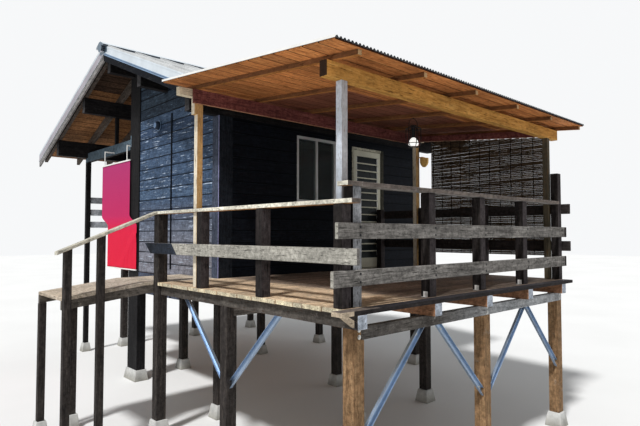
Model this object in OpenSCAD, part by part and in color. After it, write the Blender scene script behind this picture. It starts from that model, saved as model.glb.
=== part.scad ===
// Small timber house on stilts with a railed front deck under a lean-to porch roof.
// X runs along the deck front, Y runs back towards the house, Z is up.

/* [Deck] */
// Height of the deck top above the lowest ground
deck_h = 1850; // [1500:10:2400]
// Width of the deck along its front edge
deck_w = 4120; // [3900:10:4600]
// Depth of the deck from its front edge to the house wall
deck_d = 3300; // [3200:10:3400]
// Thickness of the deck boards
deck_t = 38; // [25:1:50]
// Width of one deck board with its gap
board_pitch = 122; // [95:1:190]
// Gap between two deck boards
board_gap = 4; // [2:1:10]
// Projection of the deck beyond the front stilts
deck_nose = 100; // [40:5:180]
// Length of the front board that runs past the left edge
board_tail = 135; // [60:5:250]
// Width of a deck joist
joist_w = 110; // [80:5:140]
// Depth of a deck joist
joist_h = 115; // [90:5:180]
// Spacing of the inner joists
joist_bay = 910; // [800:10:950]
// Distance of the first joist from the left edge
joist_inset = 40; // [20:5:60]
// Distance of the last joist from the right edge
joist_right = 330; // [200:10:400]

/* [Stilts] */
// Side of a square stilt
stilt = 125; // [100:5:150]
// Distance of the left front stilt from the left edge
stilt_left = 98; // [60:1:140]
// Distance of the middle front stilt from the left edge
stilt_mid = 2075; // [1900:5:2200]
// Distance of the right front stilt from the right edge
stilt_right = 250; // [200:5:300]
// Distance of the second row of stilts from the first
row_bay = 1730; // [1500:10:1900]
// Depth of the girder under the joists
girder_h = 105; // [90:5:160]
// Thickness of the girder
girder_t = 60; // [40:5:75]
// Length of the girder's seat in the left stilt
girder_seat = 38; // [20:1:60]
// Height of a concrete pier block
pier_h = 175; // [120:5:250]
// Width by which a pier block top exceeds its post
pier_top_over = 35; // [20:5:60]
// Width by which a pier block foot exceeds its post
pier_foot_over = 90; // [70:5:140]
// Leg of a steel brace along the post and along the beam
brace_leg = 790; // [600:10:850]
// Width of the steel brace channel
brace_w = 60; // [40:2:70]
// Depth of the steel brace channel
brace_d = 30; // [20:1:40]
// Wall of the steel brace channel
brace_wall = 3; // [2:0.5:5]

/* [Rails] */
// Side of a square rail post
rail_post = 100; // [80:5:110]
// Distance of the front rail posts behind the front stilt faces
rail_set = 30; // [10:5:35]
// Height of the right front corner post above the deck
corner_post_h = 1390; // [1300:5:1500]
// Height of the front handrail above the deck
front_rail_h = 1020; // [950:5:1150]
// Height of the left handrail above the deck
left_rail_h = 873; // [800:1:930]
// Thickness of a handrail board
rail_t = 38; // [25:1:45]
// Width of a handrail board
rail_w = 110; // [100:5:120]
// Width of a rail plank
plank_w = 130; // [100:5:150]
// Thickness of a rail plank
plank_t = 35; // [20:1:40]
// Height of the lower front plank above the deck
plank_low = 174; // [120:1:200]
// Height of the upper front plank above the deck
plank_high = 552; // [505:1:640]
// Height of the left plank above the deck
plank_left = 353; // [300:1:420]
// Height of the lower right plank above the deck
plank_right_low = 371; // [310:1:420]
// Height of the upper right plank above the deck
plank_right_high = 857; // [700:1:900]
// Height of the lowest rail plank at the back of the entry bay
back_rail_z = 728; // [600:1:850]
// Spacing of the rail planks at the back of the entry bay
back_rail_pitch = 257; // [200:1:320]

/* [Ramp] */
// Length of the ramp along the left side
ramp_l = 960; // [900:10:1050]
// Reach of the ramp handrail past the left deck edge
ramp_rail_reach = 1150; // [1120:10:1300]
// Drop of the ramp over its length
ramp_drop = 115; // [60:5:200]
// Width of the ramp and landing
ramp_w = 905; // [800:5:1100]
// Side of a square ramp post
ramp_post = 80; // [60:5:90]
// Height of the ramp handrail at its low end
ramp_rail_low = 400; // [350:5:500]

/* [Porch roof] */
// Height of the porch roof top at the eave above the deck
porch_eave_z = 2048; // [1980:1:2120]
// Slope of the porch roof in degrees
porch_pitch = 5.37; // [4.6:0.01:5.6]
// Projection of the porch roof in front of the front stilts
porch_eave = 200; // [150:5:300]
// Distance of the porch roof back edge from the front stilts
porch_back = 2540; // [2500:5:2550]
// Overhang of the porch roof past the left deck edge
porch_left = 300; // [200:10:400]
// Overhang of the porch roof past the right deck edge
porch_right = 210; // [180:10:400]
// Side of a square porch post
porch_post = 70; // [60:5:90]
// Distance of the left front porch post from the left deck edge
porch_post_x = 110; // [80:1:180]
// Distance of the left back porch post from the left deck edge
porch_back_x = 25; // [5:1:30]
// Distance of the front porch posts from the front stilt line
porch_post_y = 140; // [138:1:160]
// Distance of the back porch posts from the front stilt line
porch_post_back = 2330; // [2300:5:2350]
// Thickness of the header beam
header_t = 90; // [80:5:110]
// Height of the header underside above the deck
header_z = 1870; // [1800:5:1890]
// Length of the header past the left deck edge
header_left = 64; // [20:1:190]
// Length of the header past the right deck edge
header_right = 170; // [120:5:175]
// Length of the back plate past the left deck edge
plate_left = 200; // [60:5:200]
// Length of the back plate past the right deck edge
plate_right = 160; // [120:5:175]
// Distance of the first porch rafter from the left roof edge
rafter_first = 285; // [200:5:330]
// Distance of the last porch rafter from the right roof edge
rafter_last = 30; // [20:5:90]
// Side of a square porch rafter
porch_rafter = 45; // [40:1:60]
// Number of porch rafters
porch_rafters_n = 6; // [5:1:8]
// Thickness of the porch ceiling boards
ceiling_t = 12; // [9:1:20]
// Height of one corrugation of the roof sheet
wave_h = 20; // [14:1:26]
// Width of one corrugation of the roof sheet
wave_pitch = 76; // [60:1:130]
// Thickness of the roof sheet metal
wave_t = 3; // [2:0.5:5]

/* [House] */
// Distance of the house gable from the left deck edge
house_inset = 860; // [800:10:950]
// Length of the house along its ridge
house_w = 4420; // [4100:10:4800]
// Depth of the house across its ridge
house_d = 5460; // [5200:10:5700]
// Thickness of the outer walls
wall_t = 120; // [90:5:150]
// Depth of the sill beams
sill_h = 150; // [120:5:200]
// Ledge of a sill beam inside the wall
sill_ledge = 30; // [20:5:60]
// Side of a recessed entry bay along the house
entry_depth = 910; // [800:10:1100]
// Width of the broad post in the middle of the gable
main_post_w = 370; // [300:10:400]
// Projection of the gable post in front of the wall
main_post_out = 30; // [20:5:50]
// Height of the entry tie beam underside above the deck
tie_z = 2110; // [1980:5:2150]
// Side of the slender posts and the tie beam of the entry bay
entry_post = 90; // [80:5:100]
// Depth of the entry tie beam
tie_h = 190; // [150:5:200]
// Height of the skirt boards below the gable wall
skirt_h = 380; // [200:10:500]

/* [Main roof] */
// Height of the roof top over the outer face of the front wall
roof_wall_z = 2658; // [2640:1:2760]
// Slope of the main roof in degrees
roof_pitch = 21.8; // [21:0.1:23]
// Overhang of the roof past the front wall
eave_front = 740; // [700:5:760]
// Overhang of the roof past the back wall
eave_back = 860; // [700:5:1000]
// Overhang of the roof past each gable
verge = 560; // [450:5:650]
// Thickness of the metal roofing
sheet_t = 10; // [6:1:15]
// Height of a standing seam
seam_h = 28; // [15:1:40]
// Spacing of the standing seams
seam_bay = 450; // [300:10:600]
// Thickness of the roof boards
board_t = 18; // [12:1:25]
// Depth of a main rafter
rafter_h = 150; // [120:5:160]
// Width of a main rafter
rafter_w = 60; // [45:5:75]
// Number of rafters between the gables on one slope
rafters_n = 7; // [5:1:9]
// Width of the purlins
purlin_w = 120; // [90:5:140]
// Depth of the ridge beam and middle purlins
purlin_h = 260; // [200:5:280]
// Depth of the eave plates
plate_h = 270; // [220:5:290]
// Distance of the middle purlins from the ridge
purlin_off = 1190; // [1000:10:1400]
// Depth of the barge boards
barge_h = 240; // [200:5:300]
// Thickness of the barge boards
barge_t = 30; // [20:1:40]
// Depth of the metal verge trims over the barge boards
verge_trim_h = 155; // [120:5:190]
// Thickness of the verge trims with their beads
verge_trim_t = 10; // [8:1:16]
// Length of the ridge cap past each verge
cap_out = 60; // [30:5:90]

/* [Openings] */
// Distance of the deck door leaf from the house gable
door_off = 2616; // [2560:1:2700]
// Width of the deck door leaf
door_w = 680; // [620:5:720]
// Height of the deck door leaf
door_h = 1995; // [1940:5:2050]
// Thickness of the deck door leaf
door_t = 35; // [30:1:45]
// Clearance round the deck door leaf
door_gap = 6; // [5:0.5:8]
// Face width of the door frame on the handle side and over the door
frame_w = 40; // [30:1:60]
// Face width of the door frame on the hinge side
hinge_frame_w = 72; // [60:1:120]
// Width of the door stiles
stile_w = 72; // [50:1:80]
// Height of the top rail of the door
top_rail = 95; // [80:5:150]
// Height of the bottom rail of the door
bottom_rail = 150; // [120:5:200]
// Number of glass louvre blades in the door
blades_n = 14; // [10:1:16]
// Distance of the front window from the house gable
window_off = 1361; // [1300:1:1450]
// Width of a window
window_w = 840; // [700:5:900]
// Height of a window
window_h = 1020; // [900:5:1040]
// Height of a window sill above the floor
window_z = 1080; // [1000:5:1150]
// Face width of a window frame
window_frame_w = 40; // [30:1:50]

/* [Fittings] */
// Width of the reed screen along the right side
screen_w = 1900; // [1700:10:1950]
// Height of the reed screen bottom above the deck
screen_z = 300; // [200:10:900]
// Distance of the hanging lantern from the front stilts
lantern_y = 1265; // [1100:5:1400]
// Diameter of the hanging lantern cage
lantern_d = 200; // [180:5:240]
// Height of the hanging lantern cage
lantern_h = 286; // [250:2:330]
// Height of the loop over the lantern cage
lantern_drop = 104; // [90:2:130]
// Diameter of the lantern globe
globe_d = 130; // [100:2:136]
// Distance of the wall lamp from the ridge line
wall_lamp_off = 960; // [800:5:1100]
// Height of the wall lamp above the deck
wall_lamp_z = 2320; // [2200:5:2400]
// Distance of the conduit on the gable from the ridge line
conduit_off = 1395; // [1300:5:1500]
// Length of the conduit on the gable
conduit_h = 2390; // [2200:5:2450]
// Width of the red entry shade
shade_w = 1250; // [1100:10:1350]
// Height of the red entry shade top above the deck
shade_z = 1860; // [1800:5:1920]

/* [Hidden] */

$fn = 32;

// Slopes are kept to whole thousandths, so that faces which meet lie in one plane
function whole_slope(angle) = round(1000 * tan(angle)) / 1000;
porch_slope = whole_slope(porch_pitch);
porch_angle = atan(porch_slope);

// Levels, measured from the deck top
ground_z = -deck_h;
foot_z = ground_z + pier_h;
joist_z = -deck_t - joist_h;
girder_z = joist_z - girder_h;
sill_z = -deck_t - sill_h;

// Lines along Y, measured from the front stilt faces
wall_y = deck_d - deck_nose;
back_y = wall_y + house_d;
ridge_y = wall_y + house_d / 2;
roof_slope = whole_slope(roof_pitch);
roof_angle = atan(roof_slope);
ridge_z = roof_wall_z + roof_slope * house_d / 2;
boards_y = -deck_nose + board_pitch - board_gap;

main_post_y = ridge_y + 100 - main_post_w;

// Lines along X, measured from the left deck edge
house_x = house_inset;
house_x1 = house_x + house_w;
entry_x = house_x + entry_depth;
entry_post_x = house_x + wall_t;
roof_x = house_x - verge;
roof_x1 = house_x1 + verge;
beam_x = roof_x + 100;
beam_x1 = roof_x1 - 100;

// The origin is under the middle of the whole house
ramp_x = -ramp_l - 100;
min_x = -ramp_rail_reach;
min_y = -porch_eave - wave_h * sin(porch_angle);
shift = [-(min_x + roof_x1 + cap_out) / 2, -(back_y + eave_back + min_y) / 2, deck_h];

stilt_xs = [stilt_left, stilt_mid, deck_w - stilt_right];
row_xs = [joist_inset, (stilt_left + deck_w - stilt_right) / 2, deck_w - stilt_right - 420];
joist_xs = concat([joist_inset], [for (i = [3:-1:0]) deck_w - joist_right - i * joist_bay]);

// Porch roof surfaces
porch_x = -porch_left;
porch_x1 = deck_w + porch_right;
function porch_top(y) = porch_eave_z + porch_slope * (y + porch_eave);
function porch_at(y, depth) = porch_top(y) - depth / cos(porch_angle);
sheet_depth = wave_h;
ceiling_depth = sheet_depth + ceiling_t;
porch_depth = ceiling_depth + porch_rafter;

// Main roof surfaces
function roof_at(y, depth) = ridge_z - roof_slope * abs(y - ridge_y) - depth / cos(roof_angle);
boards_depth = sheet_t + board_t;
rafters_depth = boards_depth + rafter_h;
ridge_joint = 0.2;
eave_y = wall_y - eave_front;
eave_y1 = back_y + eave_back;
plate_z = roof_at(wall_y, rafters_depth) - plate_h;
ridge_beam_z = roof_at(ridge_y, rafters_depth) - purlin_h;
mid_purlin_z = roof_at(ridge_y + purlin_off, rafters_depth) - purlin_h;

// Deck door
threshold_h = 16;
leaf_x = house_x + door_off;
leaf_x1 = leaf_x + door_w;
leaf_y = wall_y - 10;
leaf_y1 = leaf_y + door_t;
leaf_z = threshold_h + door_gap;
frame_x = leaf_x - door_gap - frame_w;
frame_x1 = leaf_x1 + door_gap + hinge_frame_w;
frame_y = wall_y - 20;
frame_z1 = leaf_z + door_h + door_gap + frame_w;
window_x = house_x + window_off;

// Right side of the porch
side_beam_x = deck_w + plank_t + 10;
porch_right_x = deck_w - porch_post - porch_post;

wood_old = "#8d8a86";
wood_dark = "#3b332e";
wood_new = "#c98f4e";
wood_pale = "#e0c493";
wall_paint = "#2c333b";

module box(a, b) {
    translate(a)
        cube(b - a);
}

module along_x(x0, x1) {
    translate([x0, 0, 0])
        rotate([90, 0, 90])
            linear_extrude(x1 - x0)
                children();
}

module along_y(y0, y1) {
    translate([0, y1, 0])
        rotate([90, 0, 0])
            linear_extrude(y1 - y0)
                children();
}

// Square post standing at its low left front corner
module post(x, y, side, z0, z1) {
    box([x, y, z0], [x + side, y + side, z1]);
}

// Concrete block with four sloping sides under a post
module pier(x, y, w, d) {
    cx = x + w / 2;
    cy = y + d / 2;
    intersection() {
        along_y(cy - d, cy + d)
            pier_side(cx, w);
        along_x(cx - w, cx + w)
            pier_side(cy, d);
    }
}

module pier_side(c, w) {
    foot = (w + pier_foot_over) / 2;
    top = (w + pier_top_over) / 2;
    polygon([[c - foot, ground_z], [c + foot, ground_z], [c + top, foot_z], [c - top, foot_z]]);
}

module square_pier(x, y, side) {
    pier(x, y, side, side);
}

// Places of the stilts under the house sills, as low left front corners
function house_stilt_places() = [
    [house_x, wall_y], [(house_x + house_x1) / 2, wall_y], [house_x1 - stilt, wall_y],
    [entry_x, ridge_y - stilt / 2], [(entry_x + house_x1) / 2, ridge_y - stilt / 2],
    [house_x1 - stilt, ridge_y - stilt / 2],
    [entry_x, back_y - stilt], [(entry_x + house_x1) / 2, back_y - stilt],
    [house_x1 - stilt, back_y - stilt]
];

// Places of the four ramp posts
ramp_front_y = wall_y + stilt - ramp_post;
ramp_back_y = wall_y + stilt + ramp_w - ramp_post;
ramp_post_xs = [ramp_x - 5, ramp_x + 360];
function ramp_z(x) = x > -100 ? 0 : (x + 100) * ramp_drop / ramp_l;

module pier_blocks() {
    color("#b9b8b2") {
        for (x = stilt_xs)
            square_pier(x, 0, stilt);
        for (x = row_xs)
            square_pier(x, row_bay, stilt);
        square_pier(0, wall_y, stilt);
        for (p = house_stilt_places())
            square_pier(p[0], p[1], stilt);
        for (x = ramp_post_xs) {
            square_pier(x, ramp_front_y, ramp_post);
            square_pier(x, ramp_back_y, ramp_post);
        }
        pier(house_x - main_post_out, main_post_y, main_post_out + wall_t, main_post_w);
        square_pier(entry_post_x, back_y - entry_post, entry_post);
    }
}

// Beam housed in a notch at the top of each stilt of a row
module girder(x0, y) {
    box([x0, y, girder_z], [deck_w - stilt_right + stilt, y + girder_t, joist_z]);
}

module front_girder() {
    girder(stilt_left + stilt - girder_seat, 0);
}

module middle_girder() {
    girder(joist_inset + stilt - girder_seat, row_bay);
}

module front_stilts() {
    color(wood_new)
        difference() {
            for (x = stilt_xs)
                post(x, 0, stilt, foot_z, joist_z);
            front_girder();
        }
}

// Stilts of the middle row and the house, and the posts of the ramp
module rear_stilts() {
    color(wood_dark) {
        difference() {
            for (x = row_xs)
                post(x, row_bay, stilt, foot_z, joist_z);
            middle_girder();
        }
        post(0, wall_y, stilt, foot_z, left_rail_h - rail_t);
        for (p = house_stilt_places())
            post(p[0], p[1], stilt, foot_z, sill_z);
        for (x = ramp_post_xs) {
            ramp_post_at(x, ramp_front_y, ramp_rail_z(x), ramp_rail_z(x + ramp_post));
            ramp_post_at(x, ramp_back_y, ramp_z(x) - bearer_depth, ramp_z(x + ramp_post) - bearer_depth);
        }
    }
}

// Ramp post with its top sawn to the slope it carries
module ramp_post_at(x, y, z0, z1) {
    along_y(y, y + ramp_post)
        polygon([[x, foot_z], [x + ramp_post, foot_z], [x + ramp_post, z1], [x, z0]]);
}

// Outline of a brace from a post face at zero up to a beam underside at zero
module brace_outline(width) {
    h = width / sqrt(2);
    polygon([[0, -brace_leg - h], [0, -brace_leg + h], [brace_leg - h, 0], [brace_leg + h, 0]]);
}

// Channel brace, open to the front, in the plane of X and Z
module brace() {
    difference() {
        along_y(0, brace_d)
            brace_outline(brace_w);
        along_y(-1, brace_d - brace_wall)
            brace_outline(brace_w - 2 * brace_wall);
    }
}

module brace_right_of(x, y, z) {
    translate([x, y, z])
        brace();
}

module brace_left_of(x, y, z) {
    translate([x, y, z])
        mirror([1, 0, 0])
            brace();
}

module steel_braces() {
    y = (girder_t - brace_d) / 2;
    x = joist_inset + (joist_w - brace_d) / 2;
    color("#a9b7c4") {
        brace_right_of(stilt_xs[0] + stilt, y, girder_z);
        brace_left_of(stilt_xs[1], y, girder_z);
        brace_right_of(stilt_xs[1] + stilt, y, girder_z);
        brace_left_of(stilt_xs[2], y, girder_z);
        translate([x, row_bay, joist_z])
            rotate([0, 0, -90])
                brace();
        translate([x, row_bay + stilt, joist_z])
            mirror([0, 1, 0])
                rotate([0, 0, -90])
                    brace();
    }
}

module girders() {
    color(wood_old) {
        front_girder();
        middle_girder();
    }
}

module deck_joists() {
    color(wood_new)
        for (x = joist_xs)
            box([x, -deck_nose, joist_z], [x + joist_w, wall_y, -deck_t]);
}

// Boards end a little unevenly at the left, as sawn on site
module deck_boards() {
    run = wall_y - board_gap - boards_y;
    n = floor(run / board_pitch);
    pitch = run / n;
    color("#d8b78a")
        for (i = [0:n - 1])
            box(
                [-6 + 6 * sin(i * 137), boards_y + i * pitch + board_gap, -deck_t],
                [deck_w, boards_y + (i + 1) * pitch, 0]
            );
}

// Front board with a short diagonal knee under its free tail
module front_deck_board() {
    color(wood_dark) {
        box([-board_tail, -deck_nose, -deck_t], [deck_w, boards_y, 0]);
        along_y(-deck_nose, -deck_nose + 40)
            polygon([
                [-board_tail + 10, -deck_t], [-board_tail + 75, -deck_t],
                [joist_inset, joist_z + 60], [joist_inset, joist_z]
            ]);
    }
}

front_post_xs = [125, stilt_mid / 2 + 128, stilt_mid, stilt_mid * 1.5 - 80];
left_post_ys = [rail_set, wall_y / 3 + 15, porch_post_back - rail_post - 52];
right_post_ys = concat(left_post_ys, [wall_y - rail_post - 40]);

// The post at the right front corner runs on above the planks
function right_post_z(y) = y == rail_set ? corner_post_h : plank_right_high + plank_w + 30;

module rail_posts() {
    color(wood_dark) {
        for (x = front_post_xs)
            post(x, rail_set, rail_post, 0, front_rail_h - rail_t);
        for (y = left_post_ys)
            post(0, y, rail_post, 0, left_rail_h - rail_t);
        for (y = right_post_ys)
            post(deck_w - rail_post, y, rail_post, 0, right_post_z(y));
    }
}

// Boards laid flat on the rail posts, one of them running on down the ramp
module handrails() {
    z1 = left_rail_h;
    joint = -5;
    joint_x = front_post_xs[0] + rail_post - 10;
    color(wood_old) {
        for (x = [[45, joint_x], [joint_x + 1, deck_w - rail_post - 0.3]])
            box(
                [x[0], rail_set - 20, front_rail_h - rail_t],
                [x[1], rail_set + 5 + rail_post, front_rail_h]
            );
        difference() {
            box([joint, -80, z1 - rail_t], [rail_w - 5, wall_y + stilt, z1]);
            post(porch_back_x, porch_post_back, porch_post, 0, z1 + 1);
        }
        along_y(wall_y + stilt - rail_w + 10, wall_y + stilt)
            polygon([
                [joint - 0.3, z1 - rail_t], [joint - 0.3, z1],
                [min_x, ramp_rail_low], [min_x, ramp_rail_low - rail_t]
            ]);
    }
}

module front_plank(x0, x1, z) {
    box([x0, rail_set - plank_t, z], [x1, rail_set, z + plank_w]);
}

// Plank with a boat shaped far end
module left_plank() {
    y1 = wall_y + 300;
    r = plank_w * 1.2;
    curve = [for (a = [0:15:90]) [y1 - r * sin(a), plank_left + plank_w * (1 - sin(a)) * 0.9]];
    along_x(-plank_t, 0)
        polygon(concat(
            [[-160, plank_left], [-160, plank_left + plank_w], [y1, plank_left + plank_w]], curve
        ));
}

module rail_planks() {
    y0 = back_y - 60;
    color(wood_old) {
        front_plank(-130, deck_w + 50, plank_low);
        front_plank(-80, deck_w + 65, plank_high);
        left_plank();
        for (z = [plank_right_low, plank_right_high])
            box([deck_w, -70, z], [deck_w + plank_t, wall_y - 20, z + plank_w]);
        for (i = [0:2])
            box(
                [entry_post_x + entry_post, y0, back_rail_z + i * back_rail_pitch],
                [entry_x, y0 + plank_t, back_rail_z + i * back_rail_pitch + plank_w]
            );
    }
}

// Landing beside the house corner and the sloping boards beyond it
module ramp_deck() {
    y0 = wall_y + stilt;
    y1 = y0 + ramp_w;
    color("#c8ab84") {
        translate([0, 0, -deck_t])
            linear_extrude(deck_t)
                polygon([
                    [stilt, wall_y], [house_x - trim_t, wall_y], [house_x - trim_t, y1], [-100, y1],
                    [-100, y0], [stilt, y0]
                ]);
        along_y(y0, y1)
            polygon([
                [-100, -deck_t], [-100, 0],
                [ramp_x, ramp_z(ramp_x)], [ramp_x, ramp_z(ramp_x) - deck_t]
            ]);
    }
}

bearer_h = 100;
bearer_depth = deck_t + bearer_h;

module ramp_bearer(y) {
    z1 = ramp_z(ramp_x);
    along_y(y, y + 60)
        polygon([
            [house_x - trim_t, -deck_t], [-100, -deck_t], [ramp_x, z1 - deck_t],
            [ramp_x, z1 - bearer_depth], [-100, -bearer_depth], [house_x - trim_t, -bearer_depth]
        ]);
}

module ramp_bearers() {
    color(wood_dark) {
        ramp_bearer(wall_y + stilt);
        ramp_bearer(wall_y + stilt + ramp_w - 60);
    }
}

// Underside of the sloping handrail
function ramp_rail_z(x) = left_rail_h - rail_t
    - (left_rail_h - ramp_rail_low) * (x + 5.3) / (min_x + 5.3);

// Porch posts, the left back one with a cleat on its outer face
module porch_posts() {
    plate_bottom = porch_at(porch_post_back, porch_depth) - 90;
    color(wood_pale) {
        post(porch_post_x, porch_post_y, porch_post, 0, header_z);
        post(porch_right_x, porch_post_y, porch_post, 0, header_z);
        post(porch_back_x, porch_post_back, porch_post, 0, plate_bottom);
        box(
            [porch_back_x - 38, porch_post_back, plate_bottom - 185],
            [porch_back_x, porch_post_back + porch_post, plate_bottom]
        );
        post(deck_w - porch_post, porch_post_back, porch_post, 0, plate_bottom);
    }
}

// Beam along X with its top planed to the porch rafters
module porch_beam(x0, x1, y0, y1, z0) {
    along_x(x0, x1)
        polygon([
            [y0, z0], [y1, z0], [y1, porch_at(y1, porch_depth)], [y0, porch_at(y0, porch_depth)]
        ]);
}

// Front header and the plate on the back posts
module porch_beams() {
    y0 = porch_post_y - 5;
    y1 = porch_post_back;
    color("#c48a3c")
        porch_beam(-header_left, deck_w + header_right, y0, y0 + header_t, header_z);
    color(wood_pale)
        porch_beam(
            -plate_left, deck_w + plate_right, y1, y1 + porch_post,
            porch_at(y1, porch_depth) - 90
        );
}

// Ledger on the back posts and the side beam that carries the screen
module porch_ledger() {
    y1 = porch_post_back;
    color("#8c4a35") {
        porch_beam(-40, deck_w, y1 - 38, y1, porch_at(y1, porch_depth) - 160);
        along_x(side_beam_x, side_beam_x + porch_rafter)
            polygon([
                [side_y0, side_beam_z(side_y0)], [y1, side_beam_z(y1)],
                [y1, porch_at(y1, porch_depth)], [side_y0, porch_at(side_y0, porch_depth)]
            ]);
    }
}

side_y0 = porch_post_y - 5 + header_t;
function side_beam_z(y) = porch_at(y, porch_depth) - 90;

module porch_slab(x0, x1, y0, y1, top, bottom) {
    along_x(x0, x1)
        polygon([
            [y0, porch_at(y0, bottom)], [y1, porch_at(y1, bottom)],
            [y1, porch_at(y1, top)], [y0, porch_at(y0, top)]
        ]);
}

rafter_run = porch_x1 - porch_x - rafter_first - rafter_last - porch_rafter;
function porch_rafter_x(i) = porch_x + rafter_first + i * rafter_run / (porch_rafters_n - 1);

module porch_rafters() {
    color("#b9743a")
        for (i = [0:porch_rafters_n - 1])
            porch_slab(
                porch_rafter_x(i), porch_rafter_x(i) + porch_rafter,
                -porch_eave + 40, porch_back - 20, ceiling_depth, porch_depth
            );
}

module porch_ceiling() {
    color("#b8682f")
        porch_slab(
            porch_x + 10, porch_x1 - 10, -porch_eave + 10, porch_back - 10,
            sheet_depth, ceiling_depth
        );
}

// Ridge and valley points of the corrugated profile, as a smooth wave
wave_steps = 6;
function wave_z(i) = (wave_h - wave_t) * (1 - cos(i * 360 / wave_steps)) / 2;

module wave_profile(length) {
    n = floor(length / wave_pitch);
    step = length / n / wave_steps;
    under = [for (i = [0:n * wave_steps]) [i * step, wave_z(i)]];
    over = [for (i = [n * wave_steps:-1:0]) [i * step, wave_z(i) + wave_t]];
    polygon(concat(under, over));
}

module porch_roof_sheet() {
    color("#c9ced2")
        translate([porch_x, -porch_eave, porch_at(-porch_eave, sheet_depth)])
            rotate([porch_angle, 0, 0])
                along_y(0, (porch_back + porch_eave) / cos(porch_angle))
                    wave_profile(porch_x1 - porch_x);
}

module reed_screen() {
    x = side_beam_x + 18;
    y1 = side_y0 + screen_w;
    color("#9a7b52")
        along_x(x, x + 8)
            polygon([
                [side_y0, screen_z], [y1, screen_z], [y1, side_beam_z(y1)],
                [side_y0, side_beam_z(side_y0)]
            ]);
}

sill_w = wall_t + sill_ledge;

module sill_beams() {
    z1 = -deck_t;
    color("#6d3a2c") {
        box([house_x, wall_y, sill_z], [house_x1, wall_y + sill_w, z1]);
        box([house_x, wall_y + sill_w, sill_z], [house_x + sill_w, main_post_y, z1]);
        box([house_x1 - sill_w, wall_y + sill_w, sill_z], [house_x1, back_y - sill_w, z1]);
        box([entry_x, back_y - sill_w, sill_z], [house_x1, back_y, z1]);
        box([entry_x, ridge_y + purlin_w / 2, sill_z], [entry_x + sill_w, back_y - sill_w, z1]);
        box(
            [house_x + wall_t, ridge_y - purlin_w / 2 - sill_ledge, sill_z],
            [house_x1 - sill_w, ridge_y + purlin_w / 2, z1]
        );
    }
}

module house_floor() {
    x0 = house_x + wall_t;
    x1 = house_x1 - wall_t;
    y0 = wall_y + wall_t;
    y1 = back_y - wall_t;
    side_y = ridge_y - purlin_w / 2;
    inner_x = entry_x + wall_t;
    color("#b58a5c")
        translate([0, 0, -deck_t])
            linear_extrude(deck_t)
                polygon([
                    [x0, y0], [x1, y0], [x1, y1], [inner_x, y1], [inner_x, side_y], [x0, side_y]
                ]);
}

// Hole for a window, right through a wall that faces the front
module window_hole() {
    translate([0, -50, 0])
        cube([window_w, wall_t + 100, window_h]);
}

module at_front_window() {
    translate([window_x, wall_y, window_z])
        children();
}

module at_side_window() {
    translate([house_x1, ridge_y - 1500, window_z])
        rotate([0, 0, 90])
            children();
}

module at_back_window() {
    translate([house_x1 - 1200, back_y, window_z])
        rotate([0, 0, 180])
            children();
}

module front_wall() {
    color(wall_paint)
        difference() {
            box([house_x, wall_y, -deck_t], [frame_x, wall_y + wall_t, plate_z]);
            at_front_window()
                window_hole();
        }
}

module door_side_wall() {
    color(wall_paint)
        box([frame_x1, wall_y, -deck_t], [house_x1, wall_y + wall_t, plate_z]);
}

module door_head_wall() {
    color(wall_paint)
        box([frame_x, wall_y, frame_z1], [frame_x1, wall_y + wall_t, plate_z]);
}

// Gable outline up to the roof boards between two lines
module gable_outline(y0, y1, depth) {
    peak = y0 < ridge_y && y1 > ridge_y ? [[ridge_y, roof_at(ridge_y, depth)]] : [];
    polygon(concat(
        [[y0, -deck_t], [y0, roof_at(y0, depth)]], peak, [[y1, roof_at(y1, depth)], [y1, -deck_t]]
    ));
}

module gable_wall() {
    color(wall_paint)
        difference() {
            along_x(house_x, house_x + wall_t)
                gable_outline(wall_y + wall_t, main_post_y, boards_depth);
            purlin_set();
        }
}

module far_gable_wall() {
    color(wall_paint)
        difference() {
            along_x(house_x1 - wall_t, house_x1)
                gable_outline(wall_y + wall_t, back_y - wall_t, boards_depth);
            purlin_set();
            at_side_window()
                window_hole();
        }
}

module back_wall() {
    color(wall_paint)
        difference() {
            box([entry_x, back_y - wall_t, -deck_t], [house_x1, back_y, plate_z]);
            at_back_window()
                window_hole();
        }
}

entry_door_y = ridge_y + 900;
entry_door_w = 820;
entry_door_h = 2040;
trim_t = 18;
conduit_r = 15;

module entry_walls() {
    color(wall_paint) {
        box(
            [house_x + wall_t, ridge_y - purlin_w / 2, -deck_t],
            [entry_x + wall_t, ridge_y + purlin_w / 2, ridge_beam_z]
        );
        difference() {
            along_x(entry_x, entry_x + wall_t)
                gable_outline(ridge_y + purlin_w / 2, back_y - wall_t, rafters_depth);
            purlin_set();
            entry_door_box(entry_x - 1, entry_x + wall_t + 1, -deck_t - 1);
        }
    }
}

module entry_door_box(x0, x1, z0) {
    box([x0, entry_door_y, z0], [x1, entry_door_y + entry_door_w, entry_door_h]);
}

module entry_door() {
    color("#6b4a2f")
        entry_door_box(entry_x + 40, entry_x + 80, -deck_t);
}

// Corner boards, the skirt below the gable wall and the conduit on it
module wall_trims() {
    x0 = house_x - trim_t;
    x1 = house_x1 + trim_t;
    skirt_y = wall_y + stilt + ramp_w + 10;
    color("#3d4650") {
        box([x0, wall_y - trim_t, 0], [house_x + 200, wall_y, plate_z]);
        box([x0, wall_y, 0], [house_x, wall_y + 150, plate_z]);
        box([house_x1 - 150, wall_y - trim_t, 0], [x1, wall_y, plate_z]);
        box([house_x1, wall_y, 0], [x1, wall_y + 150, plate_z]);
        box([x0, skirt_y, -skirt_h], [house_x, main_post_y, -deck_t - 5]);
        translate([house_x - conduit_r, ridge_y - conduit_off, 60])
            cylinder(r = conduit_r, h = conduit_h);
    }
}

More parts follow.
